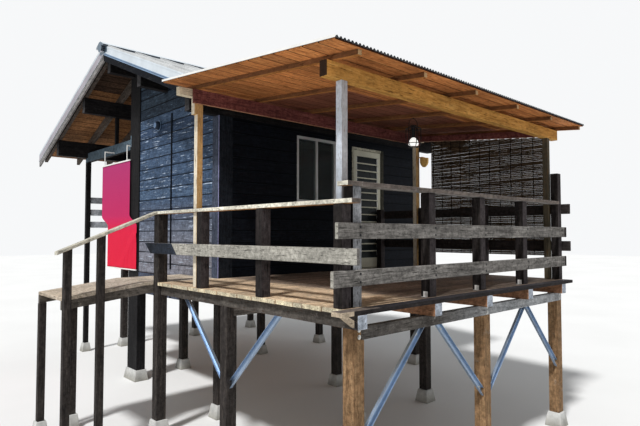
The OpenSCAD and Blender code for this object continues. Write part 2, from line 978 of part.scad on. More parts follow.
// Broad post, slender posts and tie beam that frame the open entry bay
module entry_frame() {
    x0 = entry_post_x;
    x1 = entry_post_x + entry_post;
    y1 = main_post_y + main_post_w;
    strut_y = ridge_y + purlin_off;
    d = boards_depth;
    color(wood_dark) {
        difference() {
            union() {
                along_x(house_x - main_post_out, house_x + wall_t)
                    polygon([
                        [main_post_y, foot_z], [y1, foot_z], [y1, roof_at(y1, d)],
                        [ridge_y, roof_at(ridge_y, d)], [main_post_y, roof_at(main_post_y, d)]
                    ]);
                box([x0, back_y - entry_post, foot_z], [x1, back_y, plate_z]);
                box([x0, ridge_y + purlin_w / 2, tie_z], [x1, back_y - entry_post, tie_z + tie_h]);
                box([x0 + 15, strut_y - 30, tie_z + tie_h], [x1 - 15, strut_y + 30, mid_purlin_z]);
            }
            purlin_set();
        }
    }
}

// Purlin with its top planed to the rafters
module purlin(y0, y1, z0) {
    d = rafters_depth;
    peak = y0 < ridge_y && y1 > ridge_y ? [[ridge_y, roof_at(ridge_y, d)]] : [];
    along_x(beam_x, beam_x1)
        polygon(concat(
            [[y1, z0], [y0, z0], [y0, roof_at(y0, d)]], peak, [[y1, roof_at(y1, d)]]
        ));
}

module purlin_set() {
    half = purlin_w / 2;
    purlin(ridge_y - half, ridge_y + half, ridge_beam_z);
    for (y = [ridge_y - purlin_off, ridge_y + purlin_off])
        purlin(y - half, y + half, mid_purlin_z);
    purlin(wall_y, wall_y + purlin_w, plate_z);
    purlin(back_y - purlin_w, back_y, plate_z);
}

module purlins() {
    color(wood_dark)
        purlin_set();
}

// Sloping slab of one roof side from the ridge joint to an eave line
module roof_slab(x0, x1, y, top, bottom) {
    r = ridge_y + (y < ridge_y ? -ridge_joint : ridge_joint);
    along_x(x0, x1)
        polygon([
            [r, roof_at(r, top)], [y, roof_at(y, top)],
            [y, roof_at(y, bottom)], [r, roof_at(r, bottom)]
        ]);
}

inner_x0 = house_x + wall_t + 80;
inner_run = house_x1 - wall_t - 80 - rafter_w - inner_x0;
rafter_xs = concat(
    [beam_x, beam_x1 - rafter_w], [for (i = [0:rafters_n - 1]) inner_x0 + i * inner_run / (rafters_n - 1)]
);

rafter_in = 140;
rafter_back_in = 60;

module rafters() {
    color(wood_dark)
        for (x = rafter_xs) {
            roof_slab(x, x + rafter_w, eave_y + rafter_in, boards_depth, rafters_depth);
            roof_slab(x, x + rafter_w, eave_y1 - rafter_back_in, boards_depth, rafters_depth);
        }
}

// The roof from the outside in at each verge: metal trim, barge board, roof boards
sheet_x = roof_x + verge_trim_t;
sheet_x1 = roof_x1 - verge_trim_t;
board_x = sheet_x + barge_t;
board_x1 = sheet_x1 - barge_t;
cap_half = 150;

module roof_boards() {
    color("#a8683a") {
        roof_slab(board_x, board_x1, eave_y + 10, sheet_t, boards_depth);
        roof_slab(board_x, board_x1, eave_y1 - 10, sheet_t, boards_depth);
    }
}

module roof_sheet(y) {
    n = floor((sheet_x1 - sheet_x) / seam_bay);
    seam_t = 20;
    bay = (sheet_x1 - sheet_x - seam_t) / n;
    side = y < ridge_y ? -1 : 1;
    cap_y = ridge_y + side * (cap_half + 30);
    roof_slab(sheet_x, sheet_x1, y, 0, sheet_t);
    for (i = [0:n])
        along_x(sheet_x + i * bay, sheet_x + i * bay + seam_t)
            polygon([
                [cap_y, roof_at(cap_y, 0)], [y, roof_at(y, 0)],
                [y, roof_at(y, -seam_h)], [cap_y, roof_at(cap_y, -seam_h)]
            ]);
}

module roof_sheets() {
    color("#cfd6db") {
        roof_sheet(eave_y);
        roof_sheet(eave_y1);
    }
}

// Both slopes of a verge piece, cut clear of the porch roof in front
module verge_slabs(x0, x1, top, bottom) {
    roof_slab(x0, x1, eave_y1, top, bottom);
    difference() {
        roof_slab(x0, x1, eave_y, top, bottom);
        above_porch(x0, x1);
    }
}

// Room kept over the back edge of the porch roof
module above_porch(x0, x1) {
    y0 = eave_y - 1;
    y1 = porch_back + 20;
    along_x(x0 - 1, x1 + 1)
        polygon([[y0, 0], [y1, 0], [y1, porch_at(y1, -15)], [y0, porch_at(y0, -15)]]);
}

module barge_boards() {
    color(wood_old) {
        verge_slabs(sheet_x, board_x, sheet_t, sheet_t + barge_h);
        verge_slabs(board_x1, sheet_x1, sheet_t, sheet_t + barge_h);
    }
}

// Metal trim on a verge with a bead along its top and its lower edge
module verge_trim(x_out, x_in) {
    face = (x_out * 0.6 + x_in * 0.4);
    verge_slabs(min(face, x_in), max(face, x_in), 1, verge_trim_h);
    verge_slabs(min(x_out, x_in), max(x_out, x_in), 1, 22);
    verge_slabs(min(x_out, x_in), max(x_out, x_in), verge_trim_h - 34, verge_trim_h);
}

cap_roll_r = 75;

// Round end of the ridge cap outside a verge
module cap_roll(x0, x1) {
    along_x(x0, x1)
        translate([ridge_y, ridge_z - 60])
            circle(r = cap_roll_r);
}

// Folded cap along the ridge and the metal trims along the verges
module roof_trims() {
    y0 = ridge_y - cap_half;
    y1 = ridge_y + cap_half;
    color("#c3cbd2") {
        along_x(roof_x - cap_out, roof_x1 + cap_out)
            polygon([
                [y0, roof_at(y0, 0)], [ridge_y, roof_at(ridge_y, 0)], [y1, roof_at(y1, 0)],
                [y1, roof_at(y1, -30)], [ridge_y + 30, roof_at(ridge_y + 30, -45)],
                [ridge_y - 30, roof_at(ridge_y - 30, -45)], [y0, roof_at(y0, -30)]
            ]);
        cap_roll(roof_x - cap_out, roof_x - 1);
        cap_roll(roof_x1 + 1, roof_x1 + cap_out);
        verge_trim(roof_x, sheet_x);
        verge_trim(roof_x1, sheet_x1);
    }
}

module door_frame() {
    color("#d8d6c0") {
        difference() {
            box([frame_x, frame_y, 0], [frame_x1, leaf_y1, frame_z1]);
            box(
                [leaf_x - door_gap, frame_y - 1, threshold_h],
                [leaf_x1 + door_gap, leaf_y1 + 1, frame_z1 - frame_w]
            );
        }
        box([frame_x, wall_y, -deck_t], [frame_x1, wall_y + wall_t, 0]);
    }
}

hinge_r = 6;
hinge_x = leaf_x1 + door_gap / 2;
hinge_y = leaf_y1 + 8;

hinge_h = 80;
hinge_zs = [leaf_z + 180, leaf_z + door_h / 2, leaf_z + door_h - 260];

// Three fixed barrels on plates behind the hinge side of the frame
module door_hinges() {
    color("#8f9294")
        for (z = hinge_zs) {
            translate([hinge_x, hinge_y, z])
                cylinder(r = hinge_r, h = hinge_h);
            box([hinge_x, leaf_y1, z], [hinge_x + 40, leaf_y1 + 4, z + hinge_h]);
        }
}

// Leaf with a flap at each hinge that turns round the barrel
module door_leaf() {
    color("#d8d6c0") {
        difference() {
            box([leaf_x, leaf_y, leaf_z], [leaf_x1, leaf_y1, leaf_z + door_h]);
            box(
                [leaf_x + stile_w, leaf_y - 1, leaf_z + bottom_rail],
                [leaf_x1 - stile_w, leaf_y1 + 1, leaf_z + door_h - top_rail]
            );
        }
        for (z = hinge_zs)
            box(
                [hinge_x - 40, leaf_y1, z],
                [hinge_x - hinge_r, hinge_y - 3, z + hinge_h]
            );
    }
}

// Glass blades that overlap like shingles
module door_louvres() {
    z0 = leaf_z + bottom_rail;
    bay = (door_h - bottom_rail - top_rail) / blades_n;
    color([0.25, 0.32, 0.33, 0.6])
        for (i = [0:blades_n - 1])
            translate([leaf_x + stile_w, leaf_y + 4, z0 + i * bay + 2])
                rotate([-10, 0, 0])
                    cube([door_w - 2 * stile_w, 5, bay - 1]);
}

module door_handle() {
    x = leaf_x + stile_w / 2;
    z = leaf_z + 980;
    color("#9a9a96") {
        for (side = [0, 1])
            translate([x, side == 0 ? leaf_y : leaf_y1, z])
                rotate([side == 0 ? 90 : -90, 0, 0])
                    rotate_extrude()
                        polygon([[0, 0], [24, 0], [24, 6], [9, 8], [9, 28], [22, 34], [22, 48], [0, 54]]);
    }
}

// Frame with two sashes, seen from outside with its outer face at zero
module window_frame() {
    w = window_frame_w;
    d = 70;
    translate([0, -10, 0])
        difference() {
            cube([window_w, d, window_h]);
            translate([w, -1, w])
                cube([window_w / 2 - w - 15, d + 2, window_h - 2 * w]);
            translate([window_w / 2 + 15, -1, w])
                cube([window_w / 2 - w - 15, d + 2, window_h - 2 * w]);
        }
}

module window_panes() {
    w = window_frame_w;
    for (x = [w, window_w / 2 + 15])
        translate([x, 20, w])
            cube([window_w / 2 - w - 15, 5, window_h - 2 * w]);
}

module window_frames() {
    color("#e6e7e4") {
        at_front_window()
            window_frame();
        at_side_window()
            window_frame();
        at_back_window()
            window_frame();
    }
}

module window_glass() {
    color([0.3, 0.38, 0.42, 0.5]) {
        at_front_window()
            window_panes();
        at_side_window()
            window_panes();
        at_back_window()
            window_panes();
    }
}

shade_y = ridge_y + 45;
shade_x = house_x - 60;
shade_pull = 300;

// Side edge of the shade, pulled towards the front below the middle
function shade_shift(z) = z > 720 ? 0 : z < 440 ? -shade_pull
    : -shade_pull * (1 - cos((720 - z) * 180 / 280)) / 2;

module entry_shade() {
    zs = [0, 440, 510, 580, 650, 720, shade_z];
    side = [for (z = zs) [shade_y + shade_shift(z), z]];
    far = [for (i = [len(zs) - 1:-1:0]) [shade_y + shade_w + shade_shift(zs[i]), zs[i]]];
    color("#c2274d")
        along_x(shade_x, shade_x + 12)
            polygon(concat(side, far));
}

// White bars at the top and foot of the shade, and the two bracket arms
module shade_bars() {
    y1 = shade_y + shade_w;
    x = shade_x;
    color("#eceae6") {
        box([x - 6, shade_y, shade_z], [x + 18, y1, shade_z + 24]);
        box([x - 4, shade_y - shade_pull, -20], [x + 16, y1 - shade_pull, 0]);
        for (y = [shade_y + 120, y1 - 120]) {
            box([x, y, shade_z + 24], [x + 12, y + 20, tie_z + 40]);
            box([x, y, tie_z + 20], [entry_post_x, y + 20, tie_z + 40]);
        }
    }
}

lantern_x = porch_rafter_x(3) + porch_rafter / 2;
lantern_top = porch_at(lantern_y, porch_depth) - 0.6;
cage_z1 = lantern_top - lantern_drop;
cage_z0 = cage_z1 - lantern_h;
cage_foot_h = 45;
cage_shoulder_h = 40;
globe_z = cage_z0 + 18;
globe_profile = [
    [0, 0], [0.71, 0], [0.95, 0.18], [1, 0.52], [0.86, 1.02], [0.55, 1.42], [0.31, 1.65], [0, 1.65]
];
globe_top = globe_z + 1.65 * globe_d / 2;

// Ring of square section
module ring(r, z, t) {
    translate([0, 0, z])
        rotate_extrude()
            translate([r - t, 0])
                square([t, t]);
}

// Loop that hangs the cage from the rafter
module lantern_loop(r) {
    z = lantern_top - 10 - r;
    translate([0, 0, lantern_top - 14])
        cylinder(r = 5, h = 14);
    along_y(-3, 3)
        translate([0, z])
            difference() {
                circle(r = r);
                circle(r = r - 6);
                translate([-r - 1, -r - 1])
                    square([2 * r + 2, r + 1]);
            }
    for (x = [-r, r - 6])
        box([x, -3, cage_z1 - cage_shoulder_h - 6], [x + 6, 3, z]);
}

module hanging_lantern() {
    r = lantern_d / 2;
    foot_r = r * 0.66;
    z0 = cage_z0 + cage_foot_h;
    z1 = cage_z1 - cage_shoulder_h;
    color("#1b1c1e")
        translate([lantern_x, lantern_y, 0]) {
            lantern_loop(r - 4);
            rotate_extrude()
                polygon([
                    [0, globe_top], [26, globe_top], [26, cage_z1 - 30], [40, cage_z1 - 8],
                    [40, cage_z1], [0, cage_z1]
                ]);
            ring(r, z1 - 8, 8);
            ring(r, z0, 8);
            ring(foot_r, cage_z0, 8);
            for (a = [0:60:300])
                rotate([0, 0, a])
                    along_y(-4, 4)
                        polygon([
                            [foot_r - 8, cage_z0], [foot_r, cage_z0], [r, z0], [r, z1],
                            [30, cage_z1], [30, cage_z1 - 10], [r - 8, z1 - 6], [r - 8, z0 + 2]
                        ]);
        }
}

module lantern_globe() {
    color("#f4f2ea")
        translate([lantern_x, lantern_y, globe_z])
            rotate_extrude()
                polygon([for (p = globe_profile) p * globe_d / 2]);
}

bowl_r = 70;
bowl_h = 150;

// Round lamp on the gable wall and a bowl lamp on an arm from the back porch post
module house_lamps() {
    color("#cfd8de")
        translate([house_x, ridge_y - wall_lamp_off, wall_lamp_z])
            rotate([0, -90, 0])
                rotate_extrude()
                    polygon([
                        [0, 0], [85, 0], [85, 25], [70, 25], [66, 55], [45, 87], [0, 100]
                    ]);
    color("#e39a3e")
        translate([deck_w + 52, porch_post_back - 75, 0]) {
            box([-72, -10, 1840], [0, 10, 1856]);
            box([-72, 10, 1840], [-56, 75, 1856]);
            translate([0, 0, 1840 - bowl_h])
                rotate_extrude()
                    polygon([
                        [0, 0], [bowl_r * 0.4, 6], [bowl_r * 0.8, 40], [bowl_r, 80],
                        [bowl_r, bowl_h], [0, bowl_h]
                    ]);
        }
}

module place() {
    translate(shift)
        children();
}

place() pier_blocks();
place() front_stilts();
place() rear_stilts();
place() steel_braces();
place() girders();
place() deck_joists();
place() deck_boards();
place() front_deck_board();
place() rail_posts();
place() handrails();
place() rail_planks();
place() ramp_deck();
place() ramp_bearers();
place() porch_posts();
place() porch_beams();
place() porch_ledger();
place() porch_rafters();
place() porch_ceiling();
place() porch_roof_sheet();
place() reed_screen();
place() sill_beams();
place() house_floor();
place() front_wall();
place() door_side_wall();
place() door_head_wall();
place() gable_wall();
place() far_gable_wall();
place() back_wall();
place() entry_walls();
place() entry_door();
place() wall_trims();
place() entry_frame();
place() purlins();
place() rafters();
place() roof_boards();
place() roof_sheets();
place() barge_boards();
place() roof_trims();
place() door_frame();
place() door_hinges();
place() door_leaf();
place() door_louvres();
place() door_handle();
place() window_frames();
place() window_glass();
place() entry_shade();
place() shade_bars();
place() hanging_lantern();
place() lantern_globe();
place() house_lamps();
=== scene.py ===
"""Looks for the stilt house: boards, finishes, fittings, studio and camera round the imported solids."""
import math

import bmesh
import bpy
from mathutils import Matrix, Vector


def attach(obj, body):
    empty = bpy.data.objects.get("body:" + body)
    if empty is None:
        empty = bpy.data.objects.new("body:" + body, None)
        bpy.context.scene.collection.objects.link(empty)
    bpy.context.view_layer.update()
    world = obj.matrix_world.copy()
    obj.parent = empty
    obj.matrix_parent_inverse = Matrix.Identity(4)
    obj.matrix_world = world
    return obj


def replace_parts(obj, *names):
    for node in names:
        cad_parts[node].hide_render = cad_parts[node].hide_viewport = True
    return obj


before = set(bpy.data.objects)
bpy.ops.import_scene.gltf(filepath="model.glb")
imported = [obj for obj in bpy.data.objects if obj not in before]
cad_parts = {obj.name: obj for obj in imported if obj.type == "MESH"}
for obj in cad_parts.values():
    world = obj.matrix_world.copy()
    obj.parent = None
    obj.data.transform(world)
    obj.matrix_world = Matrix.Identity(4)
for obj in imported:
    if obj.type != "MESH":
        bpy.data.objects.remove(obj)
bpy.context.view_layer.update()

# The deck frame of the source: x along the deck front, y back to the house, z up from the deck top
DECK = Vector((-2.375, -4.65906, 1.85))
HOUSE_X0, HOUSE_X1 = 0.860, 5.280
WALL_Y0, WALL_Y1, RIDGE_Y = 3.200, 8.660, 5.930
WALL_T, BACK_ROOM_X0 = 0.120, 1.770
ROOF_TOP, ROOF_SLOPE = 3.750, 0.4
ROOF_COS = math.cos(math.atan(ROOF_SLOPE))
BOARD_UNDER, RAFTER_UNDER = 0.028 / ROOF_COS, 0.178 / ROOF_COS
BOARD_PITCH, BOARD_FIRST, BOARD_T = 0.169, 0.124, 0.012
PURLIN_OFF, PURLIN_H, PLATE_H = 1.190, 0.26, 0.27
PLATE_Z = ROOF_TOP - ROOF_SLOPE * (RIDGE_Y - WALL_Y0) - RAFTER_UNDER - PLATE_H
PORCH_Y0, PORCH_Z0, PORCH_SLOPE = -0.200, 2.048, 0.094
PORCH_COS = math.cos(math.atan(PORCH_SLOPE))
MIDDLE_STILT, INNER_POSTS = 2.075, (1.1655, 2.075, 3.0325)
REED_PITCH = 0.0105
WHITE = (1, 1, 1)


def deck(x, y, z):
    return Vector((x, y, z)) + DECK


def dim(color, share):
    return tuple(c * share for c in color)


# ---------------------------------------------------------------- camera

def make_camera():
    data = bpy.data.cameras.new("view")
    data.sensor_width = 36.0
    data.sensor_fit = "HORIZONTAL"
    data.lens = 29.59
    data.clip_end = 200.0
    camera = bpy.data.objects.new("view", data)
    camera.location = deck(-2.95, -2.889, 0.59)
    camera.rotation_euler = (math.radians(90 + 2.31), 0, math.radians(47.1 - 90))
    bpy.context.scene.collection.objects.link(camera)
    bpy.context.scene.camera = camera


make_camera()


# ---------------------------------------------------------------- shader helpers

class Shade:
    """A material with one Principled shader and short calls to add nodes."""

    def __init__(self, name, rough=0.6, metal=0.0, color=(0.5, 0.5, 0.5)):
        self.mat = bpy.data.materials.new(name)
        self.mat.use_nodes = True
        self.tree = self.mat.node_tree
        self.bsdf = self.tree.nodes["Principled BSDF"]
        self.bsdf.inputs["Roughness"].default_value = rough
        self.bsdf.inputs["Metallic"].default_value = metal
        self.bsdf.inputs["Specular IOR Level"].default_value = 0.5 if metal else 0.06
        self.bsdf.inputs["Base Color"].default_value = (*color, 1)
        self.where = self.add("ShaderNodeTexCoord").outputs["Object"]

    def add(self, kind, **settings):
        node = self.tree.nodes.new(kind)
        for key, value in settings.items():
            setattr(node, key, value)
        return node

    def link(self, a, b):
        self.tree.links.new(a, b)

    def math(self, op, a, b=None):
        node = self.add("ShaderNodeMath", operation=op)
        for slot, value in ((0, a), (1, b)):
            if value is None:
                continue
            if isinstance(value, (int, float)):
                node.inputs[slot].default_value = value
            else:
                self.link(value, node.inputs[slot])
        return node.outputs[0]

    def part_of(self, vector, name):
        split = self.add("ShaderNodeSeparateXYZ")
        self.link(vector, split.inputs[0])
        return split.outputs[name]

    def axis(self, name):
        return self.part_of(self.where, name)

    def past(self, name, place, length):
        """The way past a place along an axis, in lengths."""
        return self.math("DIVIDE", self.math("SUBTRACT", self.axis(name), place), length)

    def scaled(self, scale):
        node = self.add("ShaderNodeMapping")
        node.inputs["Scale"].default_value = scale
        self.link(self.where, node.inputs["Vector"])
        return node.outputs[0]

    def noise(self, vector, scale, detail, rough, twist=0.0):
        node = self.add("ShaderNodeTexNoise")
        node.inputs["Scale"].default_value = scale
        node.inputs["Detail"].default_value = detail
        node.inputs["Roughness"].default_value = rough
        node.inputs["Distortion"].default_value = twist
        self.link(vector, node.inputs["Vector"])
        return node.outputs[0]

    def cells(self, vector, scale):
        node = self.add("ShaderNodeTexVoronoi")
        node.inputs["Scale"].default_value = scale
        self.link(vector, node.inputs["Vector"])
        return node.outputs

    def ramp(self, factor, stops):
        node = self.add("ShaderNodeValToRGB")
        ramp = node.color_ramp
        while len(ramp.elements) < len(stops):
            ramp.elements.new(0.5)
        for element, (place, color) in zip(ramp.elements, stops):
            element.position = place
            element.color = (*color, 1)
        self.link(factor, node.inputs[0])
        return node.outputs[0]

    def greys(self, factor, *stops):
        """A ramp of shares, each given as (place, share)."""
        return self.ramp(factor, [(place, dim(WHITE, share)) for place, share in stops])

    def mix(self, factor, a, b, mode="MIX"):
        node = self.add("ShaderNodeMix", data_type="RGBA", blend_type=mode)
        for slot, value in ((0, factor), (6, a), (7, b)):
            if isinstance(value, (int, float)):
                node.inputs[slot].default_value = value
            elif isinstance(value, tuple):
                node.inputs[slot].default_value = (*value, 1)
            else:
                self.link(value, node.inputs[slot])
        return node.outputs[2]

    def times(self, tone, other):
        return self.mix(1.0, tone, other, "MULTIPLY")

    def grained(self, figure, fibre, dark, mid, light):
        """Three tones of timber from its figure, with its fibre over them."""
        tone = self.ramp(figure, [(0.28, dark), (0.5, mid), (0.72, light)])
        return self.mix(0.35, tone, self.ramp(fibre, [(0.3, dark), (0.7, light)]))

    def per_board(self, count, low, high):
        """A tone of its own for each board, from the count of boards passed."""
        cell = self.add("ShaderNodeTexWhiteNoise", noise_dimensions="1D")
        self.link(self.math("FLOOR", count), cell.inputs["W"])
        return self.ramp(cell.outputs["Value"], [(0.0, low), (1.0, high)])

    def color(self, output):
        self.link(output, self.bsdf.inputs["Base Color"])

    def rough(self, output):
        self.link(output, self.bsdf.inputs["Roughness"])

    def bump(self, height, strength, distance, chain=None):
        node = self.add("ShaderNodeBump")
        node.inputs["Strength"].default_value = strength
        node.inputs["Distance"].default_value = distance
        self.link(height, node.inputs["Height"])
        if chain is not None:
            self.link(chain, node.inputs["Normal"])
        self.link(node.outputs[0], self.bsdf.inputs["Normal"])
        return node.outputs[0]

    def facing(self, name, sign):
        """One on the faces that look along an axis, towards its low (-1) or high (1) side."""
        along = self.part_of(self.add("ShaderNodeNewGeometry").outputs["Normal"], name)
        return self.math("GREATER_THAN", self.math("MULTIPLY", along, sign), 0.6)

    def beyond(self, name, place, sign=1):
        """One past a place on an axis of the deck frame."""
        offset = {"X": DECK.x, "Y": DECK.y, "Z": DECK.z}[name] + place
        return self.math("GREATER_THAN" if sign > 0 else "LESS_THAN", self.axis(name), offset)

    def above_line(self, place):
        """One where y less z is past a place, a line at 45 degrees on a side face."""
        slant = self.math("SUBTRACT", self.axis("Y"), self.axis("Z"))
        return self.math("GREATER_THAN", slant, place + DECK.y - DECK.z)

    def both(self, *factors):
        out = factors[0]
        for factor in factors[1:]:
            out = self.math("MULTIPLY", out, factor)
        return out


GRAIN = {"X": (1.3, 17.0, 17.0), "Y": (17.0, 1.3, 17.0), "Z": (17.0, 17.0, 1.3)}


def grain_vector(s, axis, split):
    """Coordinates stretched along one axis.

    split is (axis, coordinate, place): the grain runs along that other axis past the place or, with
    no place, on the faces that look along the coordinate.
    """
    first = s.scaled(GRAIN[axis])
    if split is None:
        return first
    other, coordinate, place = split
    if place is None:
        over = s.math("MAXIMUM", s.facing(coordinate, 1), s.facing(coordinate, -1))
    else:
        over = s.math("GREATER_THAN", s.axis(coordinate), place)
    node = s.add("ShaderNodeMix", data_type="VECTOR")
    s.link(over, node.inputs[0])
    s.link(first, node.inputs[4])
    s.link(s.scaled(GRAIN[other]), node.inputs[5])
    return node.outputs[1]


def wood(name, dark, mid, light, axis="X", split=None, rough=0.7, boards=None, wear=None,
         areas=None, seam=0.0, rugged=1.0):
    """Sawn or weathered timber.

    boards is (coordinate, first, pitch) for a tone of its own per board, seam the share of a board
    that its dark joint takes, wear (place, colour) of the worn spots and rugged the strength of the
    mottling. areas(s) gives pairs of a factor and three colours, for faces painted lighter as sunlit
    or darker as shaded, and for faces with another colour of their own.
    """
    s = Shade(name, rough)
    long = grain_vector(s, axis, split)
    figure = s.noise(long, 2.2, 6.0, 0.62, 0.9)
    fibre = s.noise(long, 14.0, 5.0, 0.7)
    patch = s.noise(s.where, 1.7, 3.0, 0.5)
    tone = s.grained(figure, fibre, dark, mid, light)
    for factor, colors in areas(s) if areas else ():
        tone = s.mix(factor, tone, s.grained(figure, fibre, *colors))
    tone = s.times(tone, s.greys(patch, (0.3, 0.72), (0.7, 1.18)))
    mottle = s.noise(s.where, 22.0, 6.0, 0.8)
    tone = s.times(tone, s.greys(mottle, (0.36, 1 - 0.45 * rugged), (0.64, 1 + 0.4 * rugged)))
    crack = s.noise(long, 6.0, 2.0, 0.5, 0.3)
    tone = s.mix(s.greys(crack, (0.33, 0.8), (0.37, 0)), tone, dim(dark, 0.4))
    if boards:
        count = s.past(*boards)
        if seam:
            joint = s.math("LESS_THAN", s.math("FRACT", count), seam)
            tone = s.mix(joint, tone, dim(dark, 0.25))
        tone = s.times(tone, s.per_board(count, (0.78, 0.78, 0.80), (1.16, 1.14, 1.1)))
    if wear:
        place, color = wear
        worn = s.noise(s.where, 5.5, 7.0, 0.72, 0.4)
        tone = s.mix(s.greys(worn, (place, 0), (place + 0.12, 1)), tone, color)
    s.color(tone)
    s.rough(s.math("ADD", s.math("MULTIPLY", fibre, 0.25), rough - 0.12))
    s.bump(fibre, 0.5, 0.0012, s.bump(figure, 0.35, 0.003))
    return s.mat


def metal(name, color, rough=0.35, spangle=0.0, streak=None, metallic=1.0):
    s = Shade(name, rough, metallic, color)
    cloud = s.noise(s.where, 3.0, 5.0, 0.6)
    pale, dull = tuple(min(1.0, c * 1.12) for c in color), dim(color, 0.8)
    tone = s.ramp(cloud, [(0.3, dull), (0.7, pale)])
    if spangle:
        cells = s.cells(s.where, spangle)
        tone = s.mix(0.25, tone, s.ramp(cells["Color"], [(0.2, dull), (0.8, pale)]))
    if streak:
        runs = s.noise(s.scaled(streak), 1.0, 6.0, 0.65)
        tone = s.mix(s.greys(runs, (0.5, 0), (0.8, 0.6)), tone, dull)
    s.color(tone)
    s.rough(s.math("ADD", s.math("MULTIPLY", cloud, 0.2), rough - 0.08))
    s.bump(s.noise(s.where, 40.0, 3.0, 0.5), 0.08, 0.001)
    return s.mat


def paint(name, color, rough, worn=None):
    s = Shade(name, rough, 0.0, color)
    cloud = s.noise(s.where, 6.0, 5.0, 0.6)
    long = s.scaled(GRAIN["Z"])
    tone = s.ramp(cloud, [(0.3, dim(color, 0.86)), (0.75, color)])
    if worn:
        chips = s.noise(long, 1.6, 8.0, 0.7)
        tone = s.mix(s.greys(chips, (0.62, 0), (0.7, 1)), tone, worn)
    s.color(tone)
    s.rough(s.math("ADD", s.math("MULTIPLY", cloud, 0.15), rough - 0.05))
    s.bump(s.noise(long, 6.0, 4.0, 0.6), 0.18, 0.001)
    return s.mat


def concrete(name):
    s = Shade(name, 0.9)
    coarse = s.noise(s.where, 7.0, 8.0, 0.65)
    pits = s.noise(s.where, 60.0, 4.0, 0.6)
    greys = [(0.3, (0.36, 0.36, 0.35)), (0.55, (0.55, 0.55, 0.53)), (0.75, (0.68, 0.68, 0.66))]
    foot = s.ramp(s.axis("Z"), [(0.0, (0.62, 0.60, 0.55)), (0.14, WHITE)])
    s.color(s.times(s.ramp(coarse, greys), foot))
    s.bump(pits, 0.5, 0.002, s.bump(coarse, 0.4, 0.006))
    return s.mat


def glass(name, tint, rough=0.03, through=0.9, shine=0.5):
    s = Shade(name, rough, 0.0, tint)
    s.bsdf.inputs["Specular IOR Level"].default_value = shine
    s.bsdf.inputs["Transmission Weight"].default_value = through
    s.bsdf.inputs["IOR"].default_value = 1.45
    s.bump(s.noise(s.where, 2.0, 2.0, 0.5), 0.02, 0.002)
    film = s.noise(s.where, 5.0, 4.0, 0.6)
    s.rough(s.math("ADD", s.math("MULTIPLY", film, 0.06), rough))
    return s.mat


def shades(r, g, b, spread=0.55):
    """Three tones of one colour, from its dark figure to its light one."""
    color = (r, g, b)
    return dim(color, spread), color, tuple(min(0.85, c) for c in dim(color, 2 - spread))


# Each of these gives the faces of one material that have another colour, in the deck frame

def joist_areas(s):
    """The outer face of the left joist darkened as painted shade, and the joists' pale ends at the deck
    front.
    """
    left = s.both(s.facing("X", -1), s.beyond("X", 0.06, -1))
    return [(left, shades(0.075, 0.066, 0.058, 0.5)), (s.facing("Y", -1), shades(0.38, 0.42, 0.48))]


def rail_post_areas(s):
    """The front faces of the rail posts darkened as painted shade, and the bare one of the corner post."""
    corner = s.both(s.beyond("X", 0.12), s.beyond("X", 0.23, -1))
    return [(s.facing("Y", -1), shades(0.050, 0.042, 0.043, 0.45)),
            (s.both(s.facing("Y", -1), corner), shades(0.27, 0.275, 0.29, 0.55))]


def front_board_areas(s):
    """The front darkened as painted shade, its left end lit as painted sunlight, and its top,
    in painted shade away from the ramp.
    """
    top = s.facing("Z", 1)
    return [(s.facing("Y", -1), shades(0.022, 0.019, 0.019)),
            (s.beyond("X", 0.0, -1), shades(0.42, 0.34, 0.25)),
            (top, shades(0.14, 0.115, 0.10)),
            (s.both(top, s.beyond("X", 0.30)), shades(0.026, 0.024, 0.027))]


def deck_areas(s):
    """The boards away from the ramp darkened as a painted roof shadow, and the left edge lit as
    painted sunlight.
    """
    roof_shadow = s.past("X", DECK.x + 0.90, 0.16)
    return [(s.greys(roof_shadow, (0.0, 0), (1.0, 1)), shades(0.235, 0.180, 0.140, 0.45)),
            (s.facing("X", -1), shades(0.62, 0.53, 0.38, 0.5))]


def handrail_areas(s):
    """The left rail, lighter past the house's front, with its warm underside and its outer face lit as
    painted sunlight, and the front rail's front face darkened as painted shade.
    """
    left = s.beyond("X", 0.106, -1)
    return [(s.both(left, s.beyond("Y", 3.2)), shades(0.50, 0.47, 0.39, 0.75)),
            (s.both(s.facing("Z", -1), left), shades(0.42, 0.21, 0.08)),
            (s.both(s.facing("X", -1), left), shades(0.72, 0.68, 0.57, 0.8)),
            (s.both(s.facing("Y", -1), s.beyond("Y", 3.0, -1)), shades(0.15, 0.125, 0.11, 0.5))]


def plank_areas(s):
    """The bay's back rail, the left rail's outer face lit as painted sunlight with its end in painted
    shadow past a 45 degree line, and the right rail.
    """
    outer = s.facing("X", -1)
    return [(s.beyond("Y", 8.0), shades(0.50, 0.52, 0.56, 0.8)),
            (s.both(outer, s.beyond("X", 0.01, -1)), shades(0.34, 0.325, 0.285, 0.45)),
            (s.both(outer, s.above_line(2.317)), shades(0.022, 0.028, 0.040)),
            (s.beyond("X", 4.118), shades(0.026, 0.022, 0.021))]


def porch_post_areas(s):
    """The posts' sunlit left faces, and the cooler front row with its dark right post."""
    front_row, left = s.beyond("Y", 1.0, -1), s.facing("X", -1)
    return [(left, shades(0.74, 0.66, 0.52, 0.88)),
            (s.both(left, front_row), shades(0.56, 0.60, 0.66, 0.86)),
            (s.both(s.facing("Y", -1), front_row), shades(0.40, 0.39, 0.40, 0.8)),
            (s.both(s.beyond("X", 3.9), front_row), shades(0.090, 0.076, 0.052, 0.6))]


def beam_areas(s):
    """The pale plate at the back and the header's end darkened as painted shade."""
    return [(s.beyond("Y", 2.0), shades(0.70, 0.61, 0.45, 0.85)),
            (s.both(s.facing("X", -1), s.beyond("Y", 2.0, -1)), shades(0.035, 0.022, 0.015))]


